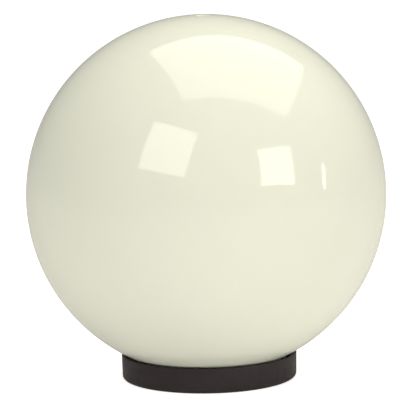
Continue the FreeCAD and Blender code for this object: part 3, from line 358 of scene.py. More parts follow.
def two_colours(material, one, other, scale):
    """Bands of two colours that wind round a wire."""
    nodes, links = material.node_tree.nodes, material.node_tree.links
    place = nodes.new("ShaderNodeTexCoord")
    bands = nodes.new("ShaderNodeTexWave")
    bands.bands_direction = "DIAGONAL"
    bands.inputs["Scale"].default_value = scale
    ramp = nodes.new("ShaderNodeValToRGB")
    ramp.color_ramp.interpolation = "CONSTANT"
    ramp.color_ramp.elements[0].color = (*one, 1)
    ramp.color_ramp.elements[1].position = 0.45
    ramp.color_ramp.elements[1].color = (*other, 1)
    links.new(place.outputs["Object"], bands.inputs["Vector"])
    links.new(bands.outputs["Fac"], ramp.inputs["Fac"])
    links.new(ramp.outputs["Color"], nodes["Principled BSDF"].inputs["Base Color"])


EARTH_YELLOW = (0.72, 0.60, 0.03)
EARTH_GREEN = (0.04, 0.26, 0.05)
EARTH_BANDS = 55
two_colours(FINISHES["wire_green_yellow"], EARTH_YELLOW, EARTH_GREEN, EARTH_BANDS)
FINISHES["opal_acrylic"] = OPAL_FINISH
FINISHES["collar_plastic"] = COLLAR_FINISH
print(len(FINISHES), "finishes")

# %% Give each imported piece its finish
SLOT_OF = {row["node"]: row["material_slot"] for row in frame["record"]["subparts"]}
for node, piece in frame["nodes"].items():
    piece.data.materials.clear()
    piece.data.materials.append(FINISHES[SLOT_OF[node]])
print("finished", len(SLOT_OF), "packed pieces")

# %% [markdown]
# ## How new pieces are drawn
#
# Most pieces of this light are round, so they are drawn as on a lathe: a single point is drawn out along
# half of the cross-section, and the line is spun round the upright axis.  The seam and the poles are merged,
# and the faces are turned outwards.

# %% Helpers for drawing


def point(radius, height):
    """A point of the cross-section, in metres, from millimetres."""
    return (radius * MM, 0, height * MM)


def arc(centre, radius, first, last, steps):
    """Points along an arc of the cross-section, in millimetres, from one angle to another in degrees."""
    angles = [math.radians(first + (last - first) * i / steps) for i in range(steps + 1)]
    return [(centre[0] + radius * math.cos(a), centre[1] + radius * math.sin(a)) for a in angles]


def draw_line(name, profile):
    """A piece that is so far only the line of its cross-section."""
    bpy.ops.object.select_all(action="DESELECT")
    bpy.ops.mesh.primitive_plane_add(size=MM)
    piece = bpy.context.object
    piece.name = name
    piece.data.name = name
    bpy.ops.object.mode_set(mode="EDIT")
    bpy.ops.mesh.merge(type="CENTER")
    places = [Vector(point(*p)) for p in profile]
    bpy.ops.transform.translate(value=places[0])
    for here, there in zip(places, places[1:]):
        bpy.ops.mesh.extrude_region_move(TRANSFORM_OT_translate={"value": there - here})
    return piece


SEAM = 0.002 * MM


def lathe(name, profile, steps, closed=True):
    """Spins the cross-section, a list of (radius, height) in millimetres, into a round piece."""
    piece = draw_line(name, profile + profile[:1] if closed else profile)
    bpy.ops.mesh.select_all(action="SELECT")
    bpy.ops.mesh.spin(steps=steps, angle=math.tau, center=(0, 0, 0), axis=(0, 0, 1))
    bpy.ops.mesh.select_all(action="SELECT")
    bpy.ops.mesh.remove_doubles(threshold=SEAM)
    bpy.ops.mesh.normals_make_consistent(inside=False)
    bpy.ops.object.mode_set(mode="OBJECT")
    return piece


def finish_piece(piece, body, finish, nodes, smooth=35):
    """Smooths the piece, gives it its finish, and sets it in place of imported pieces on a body."""
    bpy.ops.object.select_all(action="DESELECT")
    piece.select_set(True)
    bpy.context.view_layer.objects.active = piece
    bpy.ops.object.transform_apply(location=True, rotation=True, scale=True)
    bpy.ops.object.shade_smooth_by_angle(angle=math.radians(smooth))
    piece.data.materials.clear()
    piece.data.materials.append(FINISHES[finish])
    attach(piece, body)
    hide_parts(*nodes)
    print(f"{piece.name}: {len(piece.data.polygons)} faces")
    return piece


# %% [markdown]
# ## Helpers for pieces that have holes, bosses and ribs
#
# Faces are picked by where they lie and then drawn out, as by hand.  Holes and bosses are separate turned
# shapes that a Boolean modifier cuts from the piece or joins to it, and the modifier is applied at once.

# %% Helpers for cutting and drawing out


def choose_faces(piece, wanted):
    """Selects the faces whose centre, in millimetres, and normal pass the test."""
    bpy.ops.object.select_all(action="DESELECT")
    piece.select_set(True)
    bpy.context.view_layer.objects.active = piece
    bpy.ops.object.mode_set(mode="EDIT")
    bpy.ops.mesh.select_all(action="DESELECT")
    bpy.ops.object.mode_set(mode="OBJECT")
    for face in piece.data.polygons:
        face.select = bool(wanted(face.center / MM, face.normal))
    return sum(face.select for face in piece.data.polygons)


def draw_out(piece, wanted, reach):
    """Draws the chosen faces out along their normals, by reach millimetres."""
    count = choose_faces(piece, wanted)
    bpy.ops.object.mode_set(mode="EDIT")
    bpy.ops.mesh.extrude_region_shrink_fatten(TRANSFORM_OT_shrink_fatten={"value": reach * MM})
    bpy.ops.object.mode_set(mode="OBJECT")
    return count


def turn_of(place):
    """The angle of a place round the upright axis, in degrees from 0 to 360."""
    return math.degrees(math.atan2(place.y, place.x)) % 360


def from_nearest(angle, first, count):
    """How far an angle is from the nearest of evenly spaced places, in degrees."""
    pitch = 360 / count
    off = (angle - first) % pitch
    return min(off, pitch - off)


def shift(piece, x=0.0, y=0.0, z=0.0):
    """Moves the piece, in millimetres, with its mesh."""
    bpy.ops.object.select_all(action="DESELECT")
    piece.select_set(True)
    bpy.context.view_layer.objects.active = piece
    bpy.ops.transform.translate(value=(x * MM, y * MM, z * MM))
    bpy.ops.object.transform_apply(location=True, rotation=True, scale=True)
    return piece


SLIVER = 0.012 * MM


def combine(piece, tools, how):
    """Cuts the tools from the piece, joins them to it or keeps what both fill, and then removes the tools.

    The slivers that the cut leaves are merged."""
    for tool in tools:
        bpy.ops.object.select_all(action="DESELECT")
        piece.select_set(True)
        bpy.context.view_layer.objects.active = piece
        change = piece.modifiers.new("change", "BOOLEAN")
        change.operation = how
        change.solver = "EXACT"
        change.object = tool
        bpy.ops.object.modifier_apply(modifier=change.name)
        bpy.data.objects.remove(tool)
        bpy.ops.object.mode_set(mode="EDIT")
        bpy.ops.mesh.select_all(action="SELECT")
        bpy.ops.mesh.remove_doubles(threshold=SLIVER)
        bpy.ops.mesh.dissolve_degenerate(threshold=SLIVER)
        bpy.ops.object.mode_set(mode="OBJECT")
    return piece


def peg(radius, low, high, x=0.0, y=0.0, steps=32, round_top=0.0):
    """A plain round tool or boss, whose top edge can be rounded."""
    profile = [(0, low), (radius, low)]
    if round_top:
        profile += arc((radius - round_top, high - round_top), round_top, 0, 90, 4)
    else:
        profile += [(radius, high)]
    return shift(lathe("peg", profile + [(0, high)], steps, closed=False), x, y)


print("cutting helpers ready")

# %% [markdown]
# ## The globe
#
# The real globe is blown in one piece with its neck.  Its skin has to be perfectly round, because the
# softboxes' reflections show every flat, so its cross-section is drawn in short steps of its own arc.  A
# small round dimple at the top is where the moulding was fed, and the bayonet lugs stand out of the neck.

# %% Globe
GLOBE_STEPS, SKIN_STEPS, LINING_STEPS = 240, 150, 60
SEAL_LIP = 1.1
NECK_RADIUS, NECK_WALL, NECK_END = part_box("neck_seal")[1][0] / MM - SEAL_LIP, 2.5, 5.0
LUG_LOW, LUG_HIGH, LUG_REACH, LUG_SWEEP, LUGS = 8.0, 10.5, 4.0, 24, 3
GATE_BOSS, GATE_NUB, GATE_NUB_RISE = 8.0, 1.3, 0.6


def globe_profile():
    centre, outer = GLOBE_CENTRE / MM, GLOBE_RADIUS / MM
    inner = outer - NECK_WALL
    gate, gate_floor = GATE_RADIUS / MM, centre + outer - GATE_DEPTH / MM
    nub_top = gate_floor + GATE_NUB_RISE
    start = math.degrees(math.acos(gate / outer))
    stop = -math.degrees(math.acos(NECK_RADIUS / outer))
    back = -math.degrees(math.acos((NECK_RADIUS - NECK_WALL) / inner))
    home = math.degrees(math.acos(GATE_BOSS / inner))
    neck_top = centre + outer * math.sin(math.radians(stop))
    return (
        [(0, nub_top), (GATE_NUB * 0.8, nub_top), (GATE_NUB, gate_floor + 0.3), (GATE_NUB + 0.3, gate_floor)]
        + [(gate - 0.5, gate_floor), (gate - 0.1, gate_floor + 0.3)]
        + arc((0, centre), outer, start, stop + 0.6, SKIN_STEPS)
        + [(NECK_RADIUS + 0.35, neck_top + 0.1), (NECK_RADIUS, neck_top - 0.9)]
        + [(NECK_RADIUS, LUG_HIGH), (NECK_RADIUS, LUG_LOW), (NECK_RADIUS, NECK_END + 0.4)]
        + [(NECK_RADIUS - 0.4, NECK_END), (NECK_RADIUS - NECK_WALL + 0.4, NECK_END)]
        + [(NECK_RADIUS - NECK_WALL, NECK_END + 0.4)]
        + arc((0, centre), inner, back, home, LINING_STEPS)
        + [(GATE_BOSS - 0.6, gate_floor - NECK_WALL), (0, gate_floor - NECK_WALL)]
    )


def raise_lugs(globe):
    """Draws the faces of the neck between the lugs' top and bottom straight out."""
    def wanted(place, _normal):
        at_wall = abs(math.hypot(place.x, place.y) - NECK_RADIUS) < 0.3
        in_sweep = from_nearest(turn_of(place), 0, LUGS) < LUG_SWEEP / 2
        return at_wall and in_sweep and LUG_LOW < place.z < LUG_HIGH
    return draw_out(globe, wanted, LUG_REACH)


def make_globe():
    globe = lathe("globe_opal", globe_profile(), GLOBE_STEPS, closed=False)
    print("faces drawn out for the lugs:", raise_lugs(globe))
    finish_piece(globe, "globe", "opal_acrylic", ["globe"])


make_globe()

# %% [markdown]
# ## The collar
#
# The collar is one dark moulding: a low cup with a slightly drafted wall, a well rounded foot and a fine
# rounded rim.  Inside stand the three bayonet catches with their stop ribs, and the bosses for the bracket
# and the cable clamp.  Underneath is the groove for the foam gasket.  It is turned first; the catches and
# ribs are then drawn out of the wall, and the bosses and holes follow.

# %% Collar
COLLAR = COLLAR_RADIUS / MM
COLLAR_HEIGHT = COLLAR_TOP / MM
DRAFT, FOOT_ROUND, RIM_ROUND, WALL, FLOOR = 0.35, 2.4, 0.5, 2.0, 3.5
WALL_INNER = COLLAR - WALL
GASKET_OUTER, GASKET_WIDTH, GASKET_DEPTH, GASKET_ROOM = COLLAR - 6, 8, 1.5, 0.2
CATCH_LOW, CATCH_HIGH, CATCH_SWEEP, CATCH_TURN = 10.8, 13.3, 30, 310
STOP_TURN, STOP_SWEEP, CATCH_REACH = 295, 2.4, 6.6
COLLAR_STEPS = 180
WASHER_LOW, WASHER_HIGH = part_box("fixing_washer_1")
FIXING_PLACE = (WASHER_LOW[0] + WASHER_HIGH[0]) / 2 / MM
GROMMET_LOW, GROMMET_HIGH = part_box("cable_grommet")
ENTRY_Y = (GROMMET_LOW[1] + GROMMET_HIGH[1]) / 2 / MM
CLAMP_LOW, CLAMP_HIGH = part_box("cable_clamp")
CLAMP_Y = (CLAMP_LOW[1] + CLAMP_HIGH[1]) / 2 / MM
BRACKET_SCREW_LOW, BRACKET_SCREW_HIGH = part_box("bracket_screw_right")
BRACKET_X = (BRACKET_SCREW_LOW[0] + BRACKET_SCREW_HIGH[0]) / 2 / MM
CLAMP_SCREW_LOW, CLAMP_SCREW_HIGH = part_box("clamp_screw_right")
CLAMP_X = (CLAMP_SCREW_LOW[0] + CLAMP_SCREW_HIGH[0]) / 2 / MM
BLOCK_SCREW_LOW, BLOCK_SCREW_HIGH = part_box("block_screw_right")
BLOCK_X = (BLOCK_SCREW_LOW[0] + BLOCK_SCREW_HIGH[0]) / 2 / MM
BLOCK_Y = (BLOCK_SCREW_LOW[1] + BLOCK_SCREW_HIGH[1]) / 2 / MM
BRACKET_SEAT, CLAMP_SEAT = 8.5, 11.0
BRACKET_BOSS, CLAMP_BOSS, BOSS_ROUND = 4.5, 3.2, 0.3
FIXING_HOLE, ENTRY_HOLE, ENTRY_RECESS, ENTRY_RECESS_TOP = 2.75, 6.5, 8.9, 1.5
BRACKET_PILOT, CLAMP_PILOT, BLOCK_PILOT = 1.85, 1.55, 1.35
BRACKET_PILOT_END, CLAMP_PILOT_END, BLOCK_PILOT_END = 2.5, 4.5, 1.0
ENTRY_STEPS, PILOT_STEPS = 48, 24
GROOVE_EDGE, INNER_ROUND = 0.2, 0.8


def collar_profile():
    foot = COLLAR - DRAFT
    groove_in, groove_out = GASKET_OUTER - GASKET_WIDTH - GASKET_ROOM, GASKET_OUTER + GASKET_ROOM
    rim = COLLAR_HEIGHT - RIM_ROUND
    return (
        [(0, 0), (groove_in - GROOVE_EDGE, 0), (groove_in, GROOVE_EDGE), (groove_in, GASKET_DEPTH)]
        + [(groove_out, GASKET_DEPTH), (groove_out, GROOVE_EDGE), (groove_out + GROOVE_EDGE, 0)]
        + arc((foot - FOOT_ROUND, FOOT_ROUND), FOOT_ROUND, -90, 0, 10)
        + arc((COLLAR - RIM_ROUND, rim), RIM_ROUND, 0, 90, 5)
        + arc((WALL_INNER + RIM_ROUND, rim), RIM_ROUND, 90, 180, 5)
        + [(WALL_INNER, CATCH_HIGH), (WALL_INNER, CATCH_LOW)]
        + arc((WALL_INNER - INNER_ROUND, FLOOR + INNER_ROUND), INNER_ROUND, 0, -90, 3)
        + [(0, FLOOR)]
    )


def raise_catches(collar):
    """Catches and stop ribs are drawn out of the inner wall together, so that they are one moulding."""
    def wanted(place, _normal):
        at_wall = abs(math.hypot(place.x, place.y) - WALL_INNER) <= 0.1
        if not at_wall or not FLOOR + INNER_ROUND < place.z < CATCH_HIGH:
            return False
        turn = turn_of(place)
        in_catch = place.z > CATCH_LOW and from_nearest(turn, CATCH_TURN, LUGS) < CATCH_SWEEP / 2
        in_stop = place.z < CATCH_LOW and from_nearest(turn, STOP_TURN, LUGS) < STOP_SWEEP / 2
        return in_catch or in_stop
    return draw_out(collar, wanted, CATCH_REACH)


def collar_bosses():
    """Bosses that start inside the collar's floor: two for the bracket, two for the cable clamp."""
    root = FLOOR - 1
    places = [(BRACKET_BOSS, BRACKET_SEAT, x, 0) for x in (BRACKET_X, -BRACKET_X)]
    places += [(CLAMP_BOSS, CLAMP_SEAT, x, CLAMP_Y) for x in (CLAMP_X, -CLAMP_X)]
    return [peg(radius, root, seat, x, y, round_top=BOSS_ROUND) for radius, seat, x, y in places]


def collar_holes():
    """Tools for the fixing holes, the cable's way in and the screws' pilot holes."""
    below, above = -1, FLOOR + 1
    over_bracket, over_clamp = BRACKET_SEAT + 1, CLAMP_SEAT + 1
    corners = [(x * FIXING_PLACE, y * FIXING_PLACE) for x in (1, -1) for y in (1, -1)]
    holes = [peg(FIXING_HOLE, below, above, x, y) for x, y in corners]
    holes.append(peg(ENTRY_HOLE, below, above, 0, ENTRY_Y, ENTRY_STEPS))
    holes.append(peg(ENTRY_RECESS, below, ENTRY_RECESS_TOP, 0, ENTRY_Y, ENTRY_STEPS))
    for side in (1, -1):
        holes.append(peg(BRACKET_PILOT, BRACKET_PILOT_END, over_bracket, side * BRACKET_X, 0, PILOT_STEPS))
        holes.append(peg(CLAMP_PILOT, CLAMP_PILOT_END, over_clamp, side * CLAMP_X, CLAMP_Y, PILOT_STEPS))
        holes.append(peg(BLOCK_PILOT, BLOCK_PILOT_END, above, side * BLOCK_X, BLOCK_Y, PILOT_STEPS))
    return holes


def make_collar():
    collar = lathe("collar_moulding", collar_profile(), COLLAR_STEPS, closed=False)
    print("faces drawn out for catches and ribs:", raise_catches(collar))
    combine(collar, collar_bosses(), "UNION")
    combine(collar, collar_holes(), "DIFFERENCE")
    finish_piece(collar, "base", "collar_plastic", ["collar"])


make_collar()

# %% [markdown]
# ## Seals, washers and the cable grommet
#
# These soft rings are all turned.  The neck seal grips the end of the globe's neck between two lips, the foam
# gasket lies in the groove under the collar, and the grommet lines the cable's hole.  Their outer edges are
# rounded, because rubber and foam don't keep a sharp edge.

# %% Seals, washers and grommet
RING_STEPS, GROMMET_STEPS, WASHER_STEPS = 144, 64, 48
SOFT_ROUND, SEAL_FIT = 0.25, 0.05
WASHER_BORE, WASHER_OUTER, WASHER_TOP, WASHER_ROUND = 2.6, 5.5, 5.1, 0.35


def rounded_ring(inner, outer, low, high, corner):
    """The cross-section of a ring with rounded edges."""
    return (
        arc((inner + corner, low + corner), corner, 180, 270, 3)
        + arc((outer - corner, low + corner), corner, 270, 360, 3)
        + arc((outer - corner, high - corner), corner, 0, 90, 3)
        + arc((inner + corner, high - corner), corner, 90, 180, 3)
    )


def seal_profile():
    """A U in which the neck's end sits: web below, a lip inside and a lip outside."""
    low, top, fit, corner = FLOOR, NECK_END + 2.5, SEAL_FIT, SOFT_ROUND
    inner, outer = NECK_RADIUS - NECK_WALL - SEAL_LIP, NECK_RADIUS + SEAL_LIP
    slot_in, slot_out = NECK_RADIUS - NECK_WALL - fit, NECK_RADIUS + fit
    return (
        arc((inner + corner, low + corner), corner, 180, 270, 3)
        + arc((outer - corner, low + corner), corner, 270, 360, 3)
        + arc((outer - corner, top - corner), corner, 0, 90, 3)
        + [(slot_out + 0.2, top), (slot_out, top - 0.2), (slot_out, NECK_END), (slot_in, NECK_END)]
        + [(slot_in, top - 0.2), (slot_in - 0.2, top)]
        + arc((inner + corner, top - corner), corner, 90, 180, 3)
    )


def grommet_profile():
    low, high = GROMMET_LOW[2] / MM, GROMMET_HIGH[2] / MM
    bore, waist, flange = 4.0, 6.4, GROMMET_HIGH[0] / MM
    return (
        [(bore, low + 0.3), (bore + 0.3, low)]
        + arc((flange - 0.4, low + 0.4), 0.4, 270, 360, 3)
        + arc((flange - 0.4, low + 0.9), 0.4, 0, 90, 3)
        + [(waist, low + 1.3), (waist, FLOOR + 0.1)]
        + arc((waist + 0.6, FLOOR + 0.7), 0.55, 260, 450, 6)
        + [(bore + 0.8, high), (bore, high - 0.8)]
    )


def make_soft_rings():
    seal = lathe("neck_seal_ring", seal_profile(), RING_STEPS)
    finish_piece(seal, "neck_seal", "seal_rubber", ["neck_seal"])
    foam = rounded_ring(GASKET_OUTER - GASKET_WIDTH, GASKET_OUTER, 0, GASKET_DEPTH, SOFT_ROUND)
    gasket = lathe("post_gasket_ring", foam, RING_STEPS)
    finish_piece(gasket, "base", "gasket_foam", ["post_gasket"])
    grommet = shift(lathe("entry_grommet", grommet_profile(), GROMMET_STEPS), 0, ENTRY_Y)
    finish_piece(grommet, "base", "seal_rubber", ["cable_grommet"])


def make_washers():
    places = [(1, 1), (-1, 1), (-1, -1), (1, -1)]
    profile = rounded_ring(WASHER_BORE, WASHER_OUTER, FLOOR, WASHER_TOP, WASHER_ROUND)
    for number, (x, y) in enumerate(places, start=1):
        ring = lathe(f"sealing_washer_{number}", profile, WASHER_STEPS)
        shift(ring, x * FIXING_PLACE, y * FIXING_PLACE)
        finish_piece(ring, "base", "seal_rubber", [f"fixing_washer_{number}"])


make_soft_rings()
make_washers()

# %% [markdown]
# ## The lampholder
#
# A black two-part screw lampholder stands on the bracket: a domed base and a skirt that screws onto it.
# The skirt's lower band is fluted for the fingers, so every second group of its columns is drawn out.
# Inside sits the brass screw sleeve, whose thread is a real spiral: the wall of a turned tube is pushed in
# by a wave that climbs one pitch in each turn.

# %% Lampholder
THREAD_PITCH = 3.629
DOME_LOW, DOME_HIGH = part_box("holder_dome")
SKIRT_LOW, SKIRT_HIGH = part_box("holder_skirt")
SLEEVE_LOW, SLEEVE_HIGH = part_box("holder_sleeve")
SKIRT_FLUTES, FLUTE_COLUMNS, FLUTE_DEPTH = 30, 6, 0.4


def cut_thread(piece, low, high, depth, pitch=THREAD_PITCH, fade=1.5, inner_limit=0.0):
    """Pushes the wall in by a wave that climbs one pitch a turn, between two heights.

    The wave fades in and out at both ends, and whatever lies inside the inner limit stays."""
    for vertex in piece.data.vertices:
        place = vertex.co / MM
        radius = math.hypot(place.x, place.y)
        if radius < inner_limit or not low <= place.z <= high:
            continue
        share = min(1.0, (place.z - low) / fade, (high - place.z) / fade)
        wave = math.cos(math.tau * (place.z / pitch - math.atan2(place.y, place.x) / math.tau))
        factor = 1 - share * depth * (0.5 - 0.5 * wave) / radius
        vertex.co.x *= factor
        vertex.co.y *= factor


def rows(radius, low, high, count):
    """Evenly spaced points up a straight wall."""
    return [(radius, low + (high - low) * i / count) for i in range(count + 1)]


def make_dome():
    low, shoulder, spigot = DOME_LOW[2] / MM, DOME_LOW[2] / MM + 26, DOME_HIGH[2] / MM
    profile = (
        [(7.2, low + 2.4), (7.2, low + 0.4), (7.6, low)]
        + [(8.6, low), (9.0, low + 0.4), (9.0, low + 4), (9.3, low + 4.6)]
        + arc((9.0, low + 17), 10.5, -75, -5, 14)
        + [(19.5, low + 17.5), (19.5, shoulder - 0.5), (19.0, shoulder), (17.6, shoulder)]
        + [(17.6, spigot - 0.4), (17.2, spigot), (16.0, spigot), (15.6, spigot - 0.4), (15.6, low + 20)]
        + arc((9.0, low + 18), 6.8, 0, -75, 8)
    )
    dome = lathe("holder_base_moulding", profile, 120)
    finish_piece(dome, "base", "holder_plastic", ["holder_dome"])


def make_skirt():
    low, high, grip = SKIRT_LOW[2] / MM, SKIRT_HIGH[2] / MM, SKIRT_LOW[2] / MM + 13
    outer = SKIRT_HIGH[0] / MM
    band = outer - FLUTE_DEPTH
    profile = (
        [(17.75, low), (outer - 1.0, low), (band, low + 0.6), (band, grip - 1.2)]
        + [(outer - 1.0, grip - 0.3), (17.8, grip + 0.6), (17.4, grip + 1.2)]
        + [(17.4, high - 6), (17.4, high - 4.6)]
        + arc((16.6, high - 0.8), 0.8, 0, 90, 4)
        + arc((16.1, high - 0.8), 0.8, 90, 180, 4)
        + [(15.3, grip + 8.5), (15.9, grip + 6.5), (17.75, grip - 5.5)]
    )
    skirt = lathe("holder_skirt_moulding", profile, SKIRT_FLUTES * FLUTE_COLUMNS)
    middle = (low + grip) / 2

    def wanted(place, _normal):
        at_band = abs(math.hypot(place.x, place.y) - band) < 0.1 and abs(place.z - middle) < 2
        column = int(turn_of(place) / (360 / SKIRT_FLUTES) * FLUTE_COLUMNS) % FLUTE_COLUMNS
        return at_band and column < FLUTE_COLUMNS / 2
    print("flute faces:", draw_out(skirt, wanted, FLUTE_DEPTH))
    finish_piece(skirt, "base", "holder_plastic", ["holder_skirt"])


def make_sleeve():
    low, high, outer = SLEEVE_LOW[2] / MM, SLEEVE_HIGH[2] / MM, SLEEVE_HIGH[0] / MM
    wall = 0.4
    profile = (
        [(11, low), (outer - 0.6, low), (outer - 0.1, low + 0.5)]
        + rows(outer, low + 1, high, 40)
        + rows(outer - wall, high, low + 1, 40)
        + [(outer - 0.9, low + wall), (11, low + wall)]
    )
    sleeve = lathe("holder_screw_sleeve", profile, 72)
    cut_thread(sleeve, low + 1, high - 1, 0.42)
    finish_piece(sleeve, "base", "brass", ["holder_sleeve"], smooth=60)


make_dome()
make_skirt()
make_sleeve()

# %% [markdown]
# ## The lamp
#
# An ordinary screw lamp: a solder tip in a black glass insulator, a nickel screw cap, a white ribbed housing
# that carries the heat away, and a frosted dome over the board.  The cap screws into the sleeve, so its
# thread has the sleeve's pitch and a slightly smaller size.

# %% Lamp
CAP_LOW, CAP_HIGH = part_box("lamp_cap")
INSULATOR_LOW, INSULATOR_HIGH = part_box("lamp_insulator")
TIP_LOW, TIP_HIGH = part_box("lamp_contact")
HOUSING_LOW, HOUSING_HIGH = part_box("lamp_housing")
DIFFUSER_LOW, DIFFUSER_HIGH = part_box("lamp_diffuser")
HOUSING_RIBS, RIB_COLUMNS, RIB_RISE = 40, 4, 0.35
FLARE_STEPS = 20


def make_contact():
    low, high, radius = TIP_LOW[2] / MM, TIP_HIGH[2] / MM, TIP_HIGH[0] / MM
    rim = low + 0.9
    bead = arc((0, low + 2.6), 2.6, -90, -35, 6)
    disc = [(2.4, rim), (radius - 0.3, rim), (radius, rim + 0.3), (radius, high), (0, high)]
    profile = bead + disc
    tip = lathe("lamp_solder_tip", profile, 48, closed=False)
    finish_piece(tip, "lamp_tip", "cap_nickel", ["lamp_contact"])


def make_insulator():
    low, high, outer = INSULATOR_LOW[2] / MM, INSULATOR_HIGH[2] / MM, INSULATOR_HIGH[0] / MM
    profile = (
        [(0, low), (4.6, low)]
        + arc((outer - 5.6, high - 0.4), 5.6, -80, 0, 10)
        + [(outer, high), (0, high)]
    )
    glass = lathe("lamp_glass_insulator", profile, 72, closed=False)
    finish_piece(glass, "lamp_tip", "insulator_black", ["lamp_insulator"])


def make_cap():
    low, high, outer = CAP_LOW[2] / MM, CAP_HIGH[2] / MM, CAP_HIGH[0] / MM
    wall = 0.35
    profile = (
        [(9.0, low), (outer - 1.2, low), (outer - 0.3, low + 0.5)]
        + rows(outer, low + 1.2, high, 42)
        + rows(outer - wall, high, low + 1.2, 42)
        + [(outer - 1.4, low + wall), (9.0, low + wall)]
    )
    cap = lathe("lamp_screw_cap", profile, 72)
    cut_thread(cap, low + 1.2, high - 6.2, 0.5)
    finish_piece(cap, "lamp", "cap_nickel", ["lamp_cap"], smooth=60)


def make_housing():
    low, high, outer = HOUSING_LOW[2] / MM, HOUSING_HIGH[2] / MM, HOUSING_HIGH[0] / MM
    cap_top, insert, neck, wall = CAP_HIGH[2] / MM, 12.6, 14.0, 1.4
    flare_low, rim = cap_top + 2, 1.5
    rise, spread = high - flare_low, outer - neck
    radius = (spread ** 2 + rise ** 2) / (2 * spread)
    heights = [flare_low + rise * i / FLARE_STEPS for i in range(FLARE_STEPS + 1)]

    def flare(inset):
        """The flared wall from the neck up, set in from the outside."""
        reach = radius + inset
        return [(neck + radius - math.sqrt(reach ** 2 - (z - flare_low) ** 2), z) for z in heights]

    outside = flare(RIB_RISE)[:-1] + [(outer, high - rim), (outer, high)]
    inside = [(outer - wall, high)] + flare(wall + RIB_RISE)[-2::-1]
    bottom = [(insert - wall, cap_top - 0.5), (insert - wall, low), (insert - 0.3, low), (insert, low + 0.3)]
    profile = bottom + [(insert, cap_top), (neck - RIB_RISE, cap_top)] + outside + inside
    housing = lathe("lamp_heat_housing", profile, HOUSING_RIBS * RIB_COLUMNS)

    def wanted(place, normal):
        around = math.hypot(place.x, place.y)
        outward = (place.x * normal.x + place.y * normal.y) > 0
        column = int(turn_of(place) / (360 / HOUSING_RIBS) * RIB_COLUMNS) % RIB_COLUMNS
        in_rib = column < RIB_COLUMNS / 2 and flare_low + 3 < place.z < high - 4
        return outward and in_rib and around > insert
    print("rib faces:", draw_out(housing, wanted, RIB_RISE))
    finish_piece(housing, "lamp", "lamp_white", ["lamp_housing"])


def make_diffuser():
    low, high, outer, wall = DIFFUSER_LOW[2] / MM, DIFFUSER_HIGH[2] / MM, 30.0, 1.2
    centre = high - outer
    first = -math.degrees(math.asin((centre - low) / outer))
    inner_first = -math.degrees(math.asin((centre - low) / (outer - wall)))
    profile = arc((0, centre), outer, 90, first, 60) + arc((0, centre), outer - wall, inner_first, 90, 48)
    dome = lathe("lamp_frosted_dome", profile, 120, closed=False)
    finish_piece(dome, "lamp", "lamp_frost", ["lamp_diffuser"])


make_contact()
make_insulator()
make_cap()
make_housing()
make_diffuser()

# %% [markdown]
# ## Screws, nut and nipple
#
# The screws are slotted pan heads on threaded shanks.  Each one is turned, its thread is cut as a spiral,
# and its slot is sawn with a thin block.  The hollow nipple and its nut hold the lampholder on the bracket.

# %% Screws
SCREW_PITCH, ROW_HEIGHT = 0.7, 0.14
SLOT_WIDTH = 0.26


def make_screw(node, head, head_height, shank):
    """A slotted pan-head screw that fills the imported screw's height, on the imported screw's axis."""
    low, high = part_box(node)
    x, y = (low[0] + high[0]) / 2 / MM, (low[1] + high[1]) / 2 / MM
    foot, top = low[2] / MM, high[2] / MM
    seat = top - head_height
    count = max(6, int((seat - foot) / ROW_HEIGHT))
    dome = head_height * 0.55
    profile = (
        [(0, foot), (shank * 0.7, foot)]
        + rows(shank, foot + 0.3, seat, count)
        + [(head - 0.15, seat), (head, seat + 0.15)]
        + arc((head - dome, top - dome), dome, 0, 90, 6)
        + [(0, top)]
    )
    screw = lathe(f"slotted_{node}", profile, 40, closed=False)
    cut_thread(screw, foot + 0.3, seat - 0.2, shank * 0.16, SCREW_PITCH, 0.4, inner_limit=shank * 0.95)
    bpy.ops.object.select_all(action="DESELECT")
    bpy.ops.mesh.primitive_cube_add(size=MM)
    blade = bpy.context.object
    bpy.ops.transform.resize(value=(head * 3, head * SLOT_WIDTH, head_height))
    turn = math.radians(20 + 50 * abs(x) % 90)
    bpy.ops.transform.rotate(value=turn, orient_axis="Z", center_override=(0, 0, 0))
    bpy.ops.object.transform_apply(location=True, rotation=True, scale=True)
    shift(blade, 0, 0, top)
    combine(screw, [blade], "DIFFERENCE")
    shift(screw, x, y)
    finish_piece(screw, "base", SLOT_OF[node], [node])


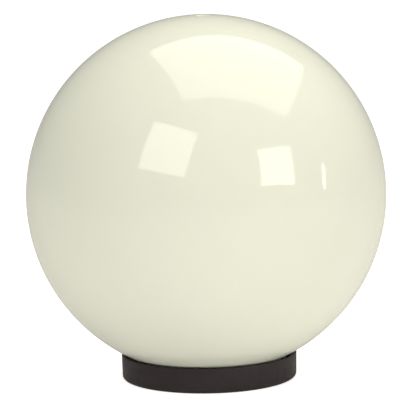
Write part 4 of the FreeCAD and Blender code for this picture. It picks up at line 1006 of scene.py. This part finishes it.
# packed screw, then the head's radius and height and the shank's radius, in millimetres
SCREWS = [
    ("bracket_screw_right", 3.6, 2.3, 1.8),
    ("bracket_screw_left", 3.6, 2.3, 1.8),
    ("clamp_screw_right", 2.9, 2.0, 1.5),
    ("clamp_screw_left", 2.9, 2.0, 1.5),
    ("earth_screw", 3.3, 2.2, 1.9),
    ("block_screw_right", 2.1, 1.6, 1.3),
    ("block_screw_left", 2.1, 1.6, 1.3),
]
for pole in ("live", "neutral", "earth"):
    for row in ("outer", "inner"):
        SCREWS.append((f"pole_screw_{pole}_{row}", 2.0, 1.6, 1.4))
for screw_sizes in SCREWS:
    make_screw(*screw_sizes)

# %% Nut and nipple
NUT_LOW, NUT_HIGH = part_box("nipple_nut")
NIPPLE_LOW, NIPPLE_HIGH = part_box("nipple")
NUT_BORE = 5.06


def make_nut():
    """A six-sided disc whose corners are trimmed to a turned blank, and bored."""
    low, high, reach, corner = NUT_LOW[2] / MM, NUT_HIGH[2] / MM, NUT_HIGH[0] / MM, 0.9
    bpy.ops.object.select_all(action="DESELECT")
    bpy.ops.mesh.primitive_cylinder_add(
        vertices=6, radius=NUT_HIGH[0], depth=(high - low) * MM, location=(0, 0, (low + high) / 2 * MM)
    )
    nut = bpy.context.object
    nut.name = "hexagon_nut"
    nut.data.name = "hexagon_nut"
    bpy.ops.transform.rotate(value=math.radians(30), orient_axis="Z", center_override=(0, 0, 0))
    bpy.ops.object.transform_apply(location=True, rotation=True, scale=True)
    side, slope = reach + 0.1, corner * 0.6
    blank_profile = (
        [(0, low), (reach - corner, low), (side, low + slope)]
        + [(side, high - slope), (reach - corner, high), (0, high)]
    )
    blank = lathe("blank", blank_profile, 72, closed=False)
    combine(nut, [blank], "INTERSECT")
    combine(nut, [peg(NUT_BORE, low - 1, high + 1, steps=48)], "DIFFERENCE")
    finish_piece(nut, "base", "zinc_steel", ["nipple_nut"], smooth=20)


def make_nipple():
    low, high, radius, bore = NIPPLE_LOW[2] / MM, NIPPLE_HIGH[2] / MM, NIPPLE_HIGH[0] / MM, 3.7
    profile = (
        [(bore, low + 0.3), (bore + 0.3, low), (radius - 0.5, low)]
        + rows(radius, low + 0.5, high - 0.5, 90)
        + [(radius - 0.5, high), (bore + 0.3, high), (bore, high - 0.3)]
    )
    nipple = lathe("threaded_nipple", profile, 48)
    cut_thread(nipple, low + 0.5, high - 0.5, 0.45, 1.0, 0.6, inner_limit=bore + 0.5)
    finish_piece(nipple, "base", "zinc_steel", ["nipple"], smooth=60)


make_nut()
make_nipple()
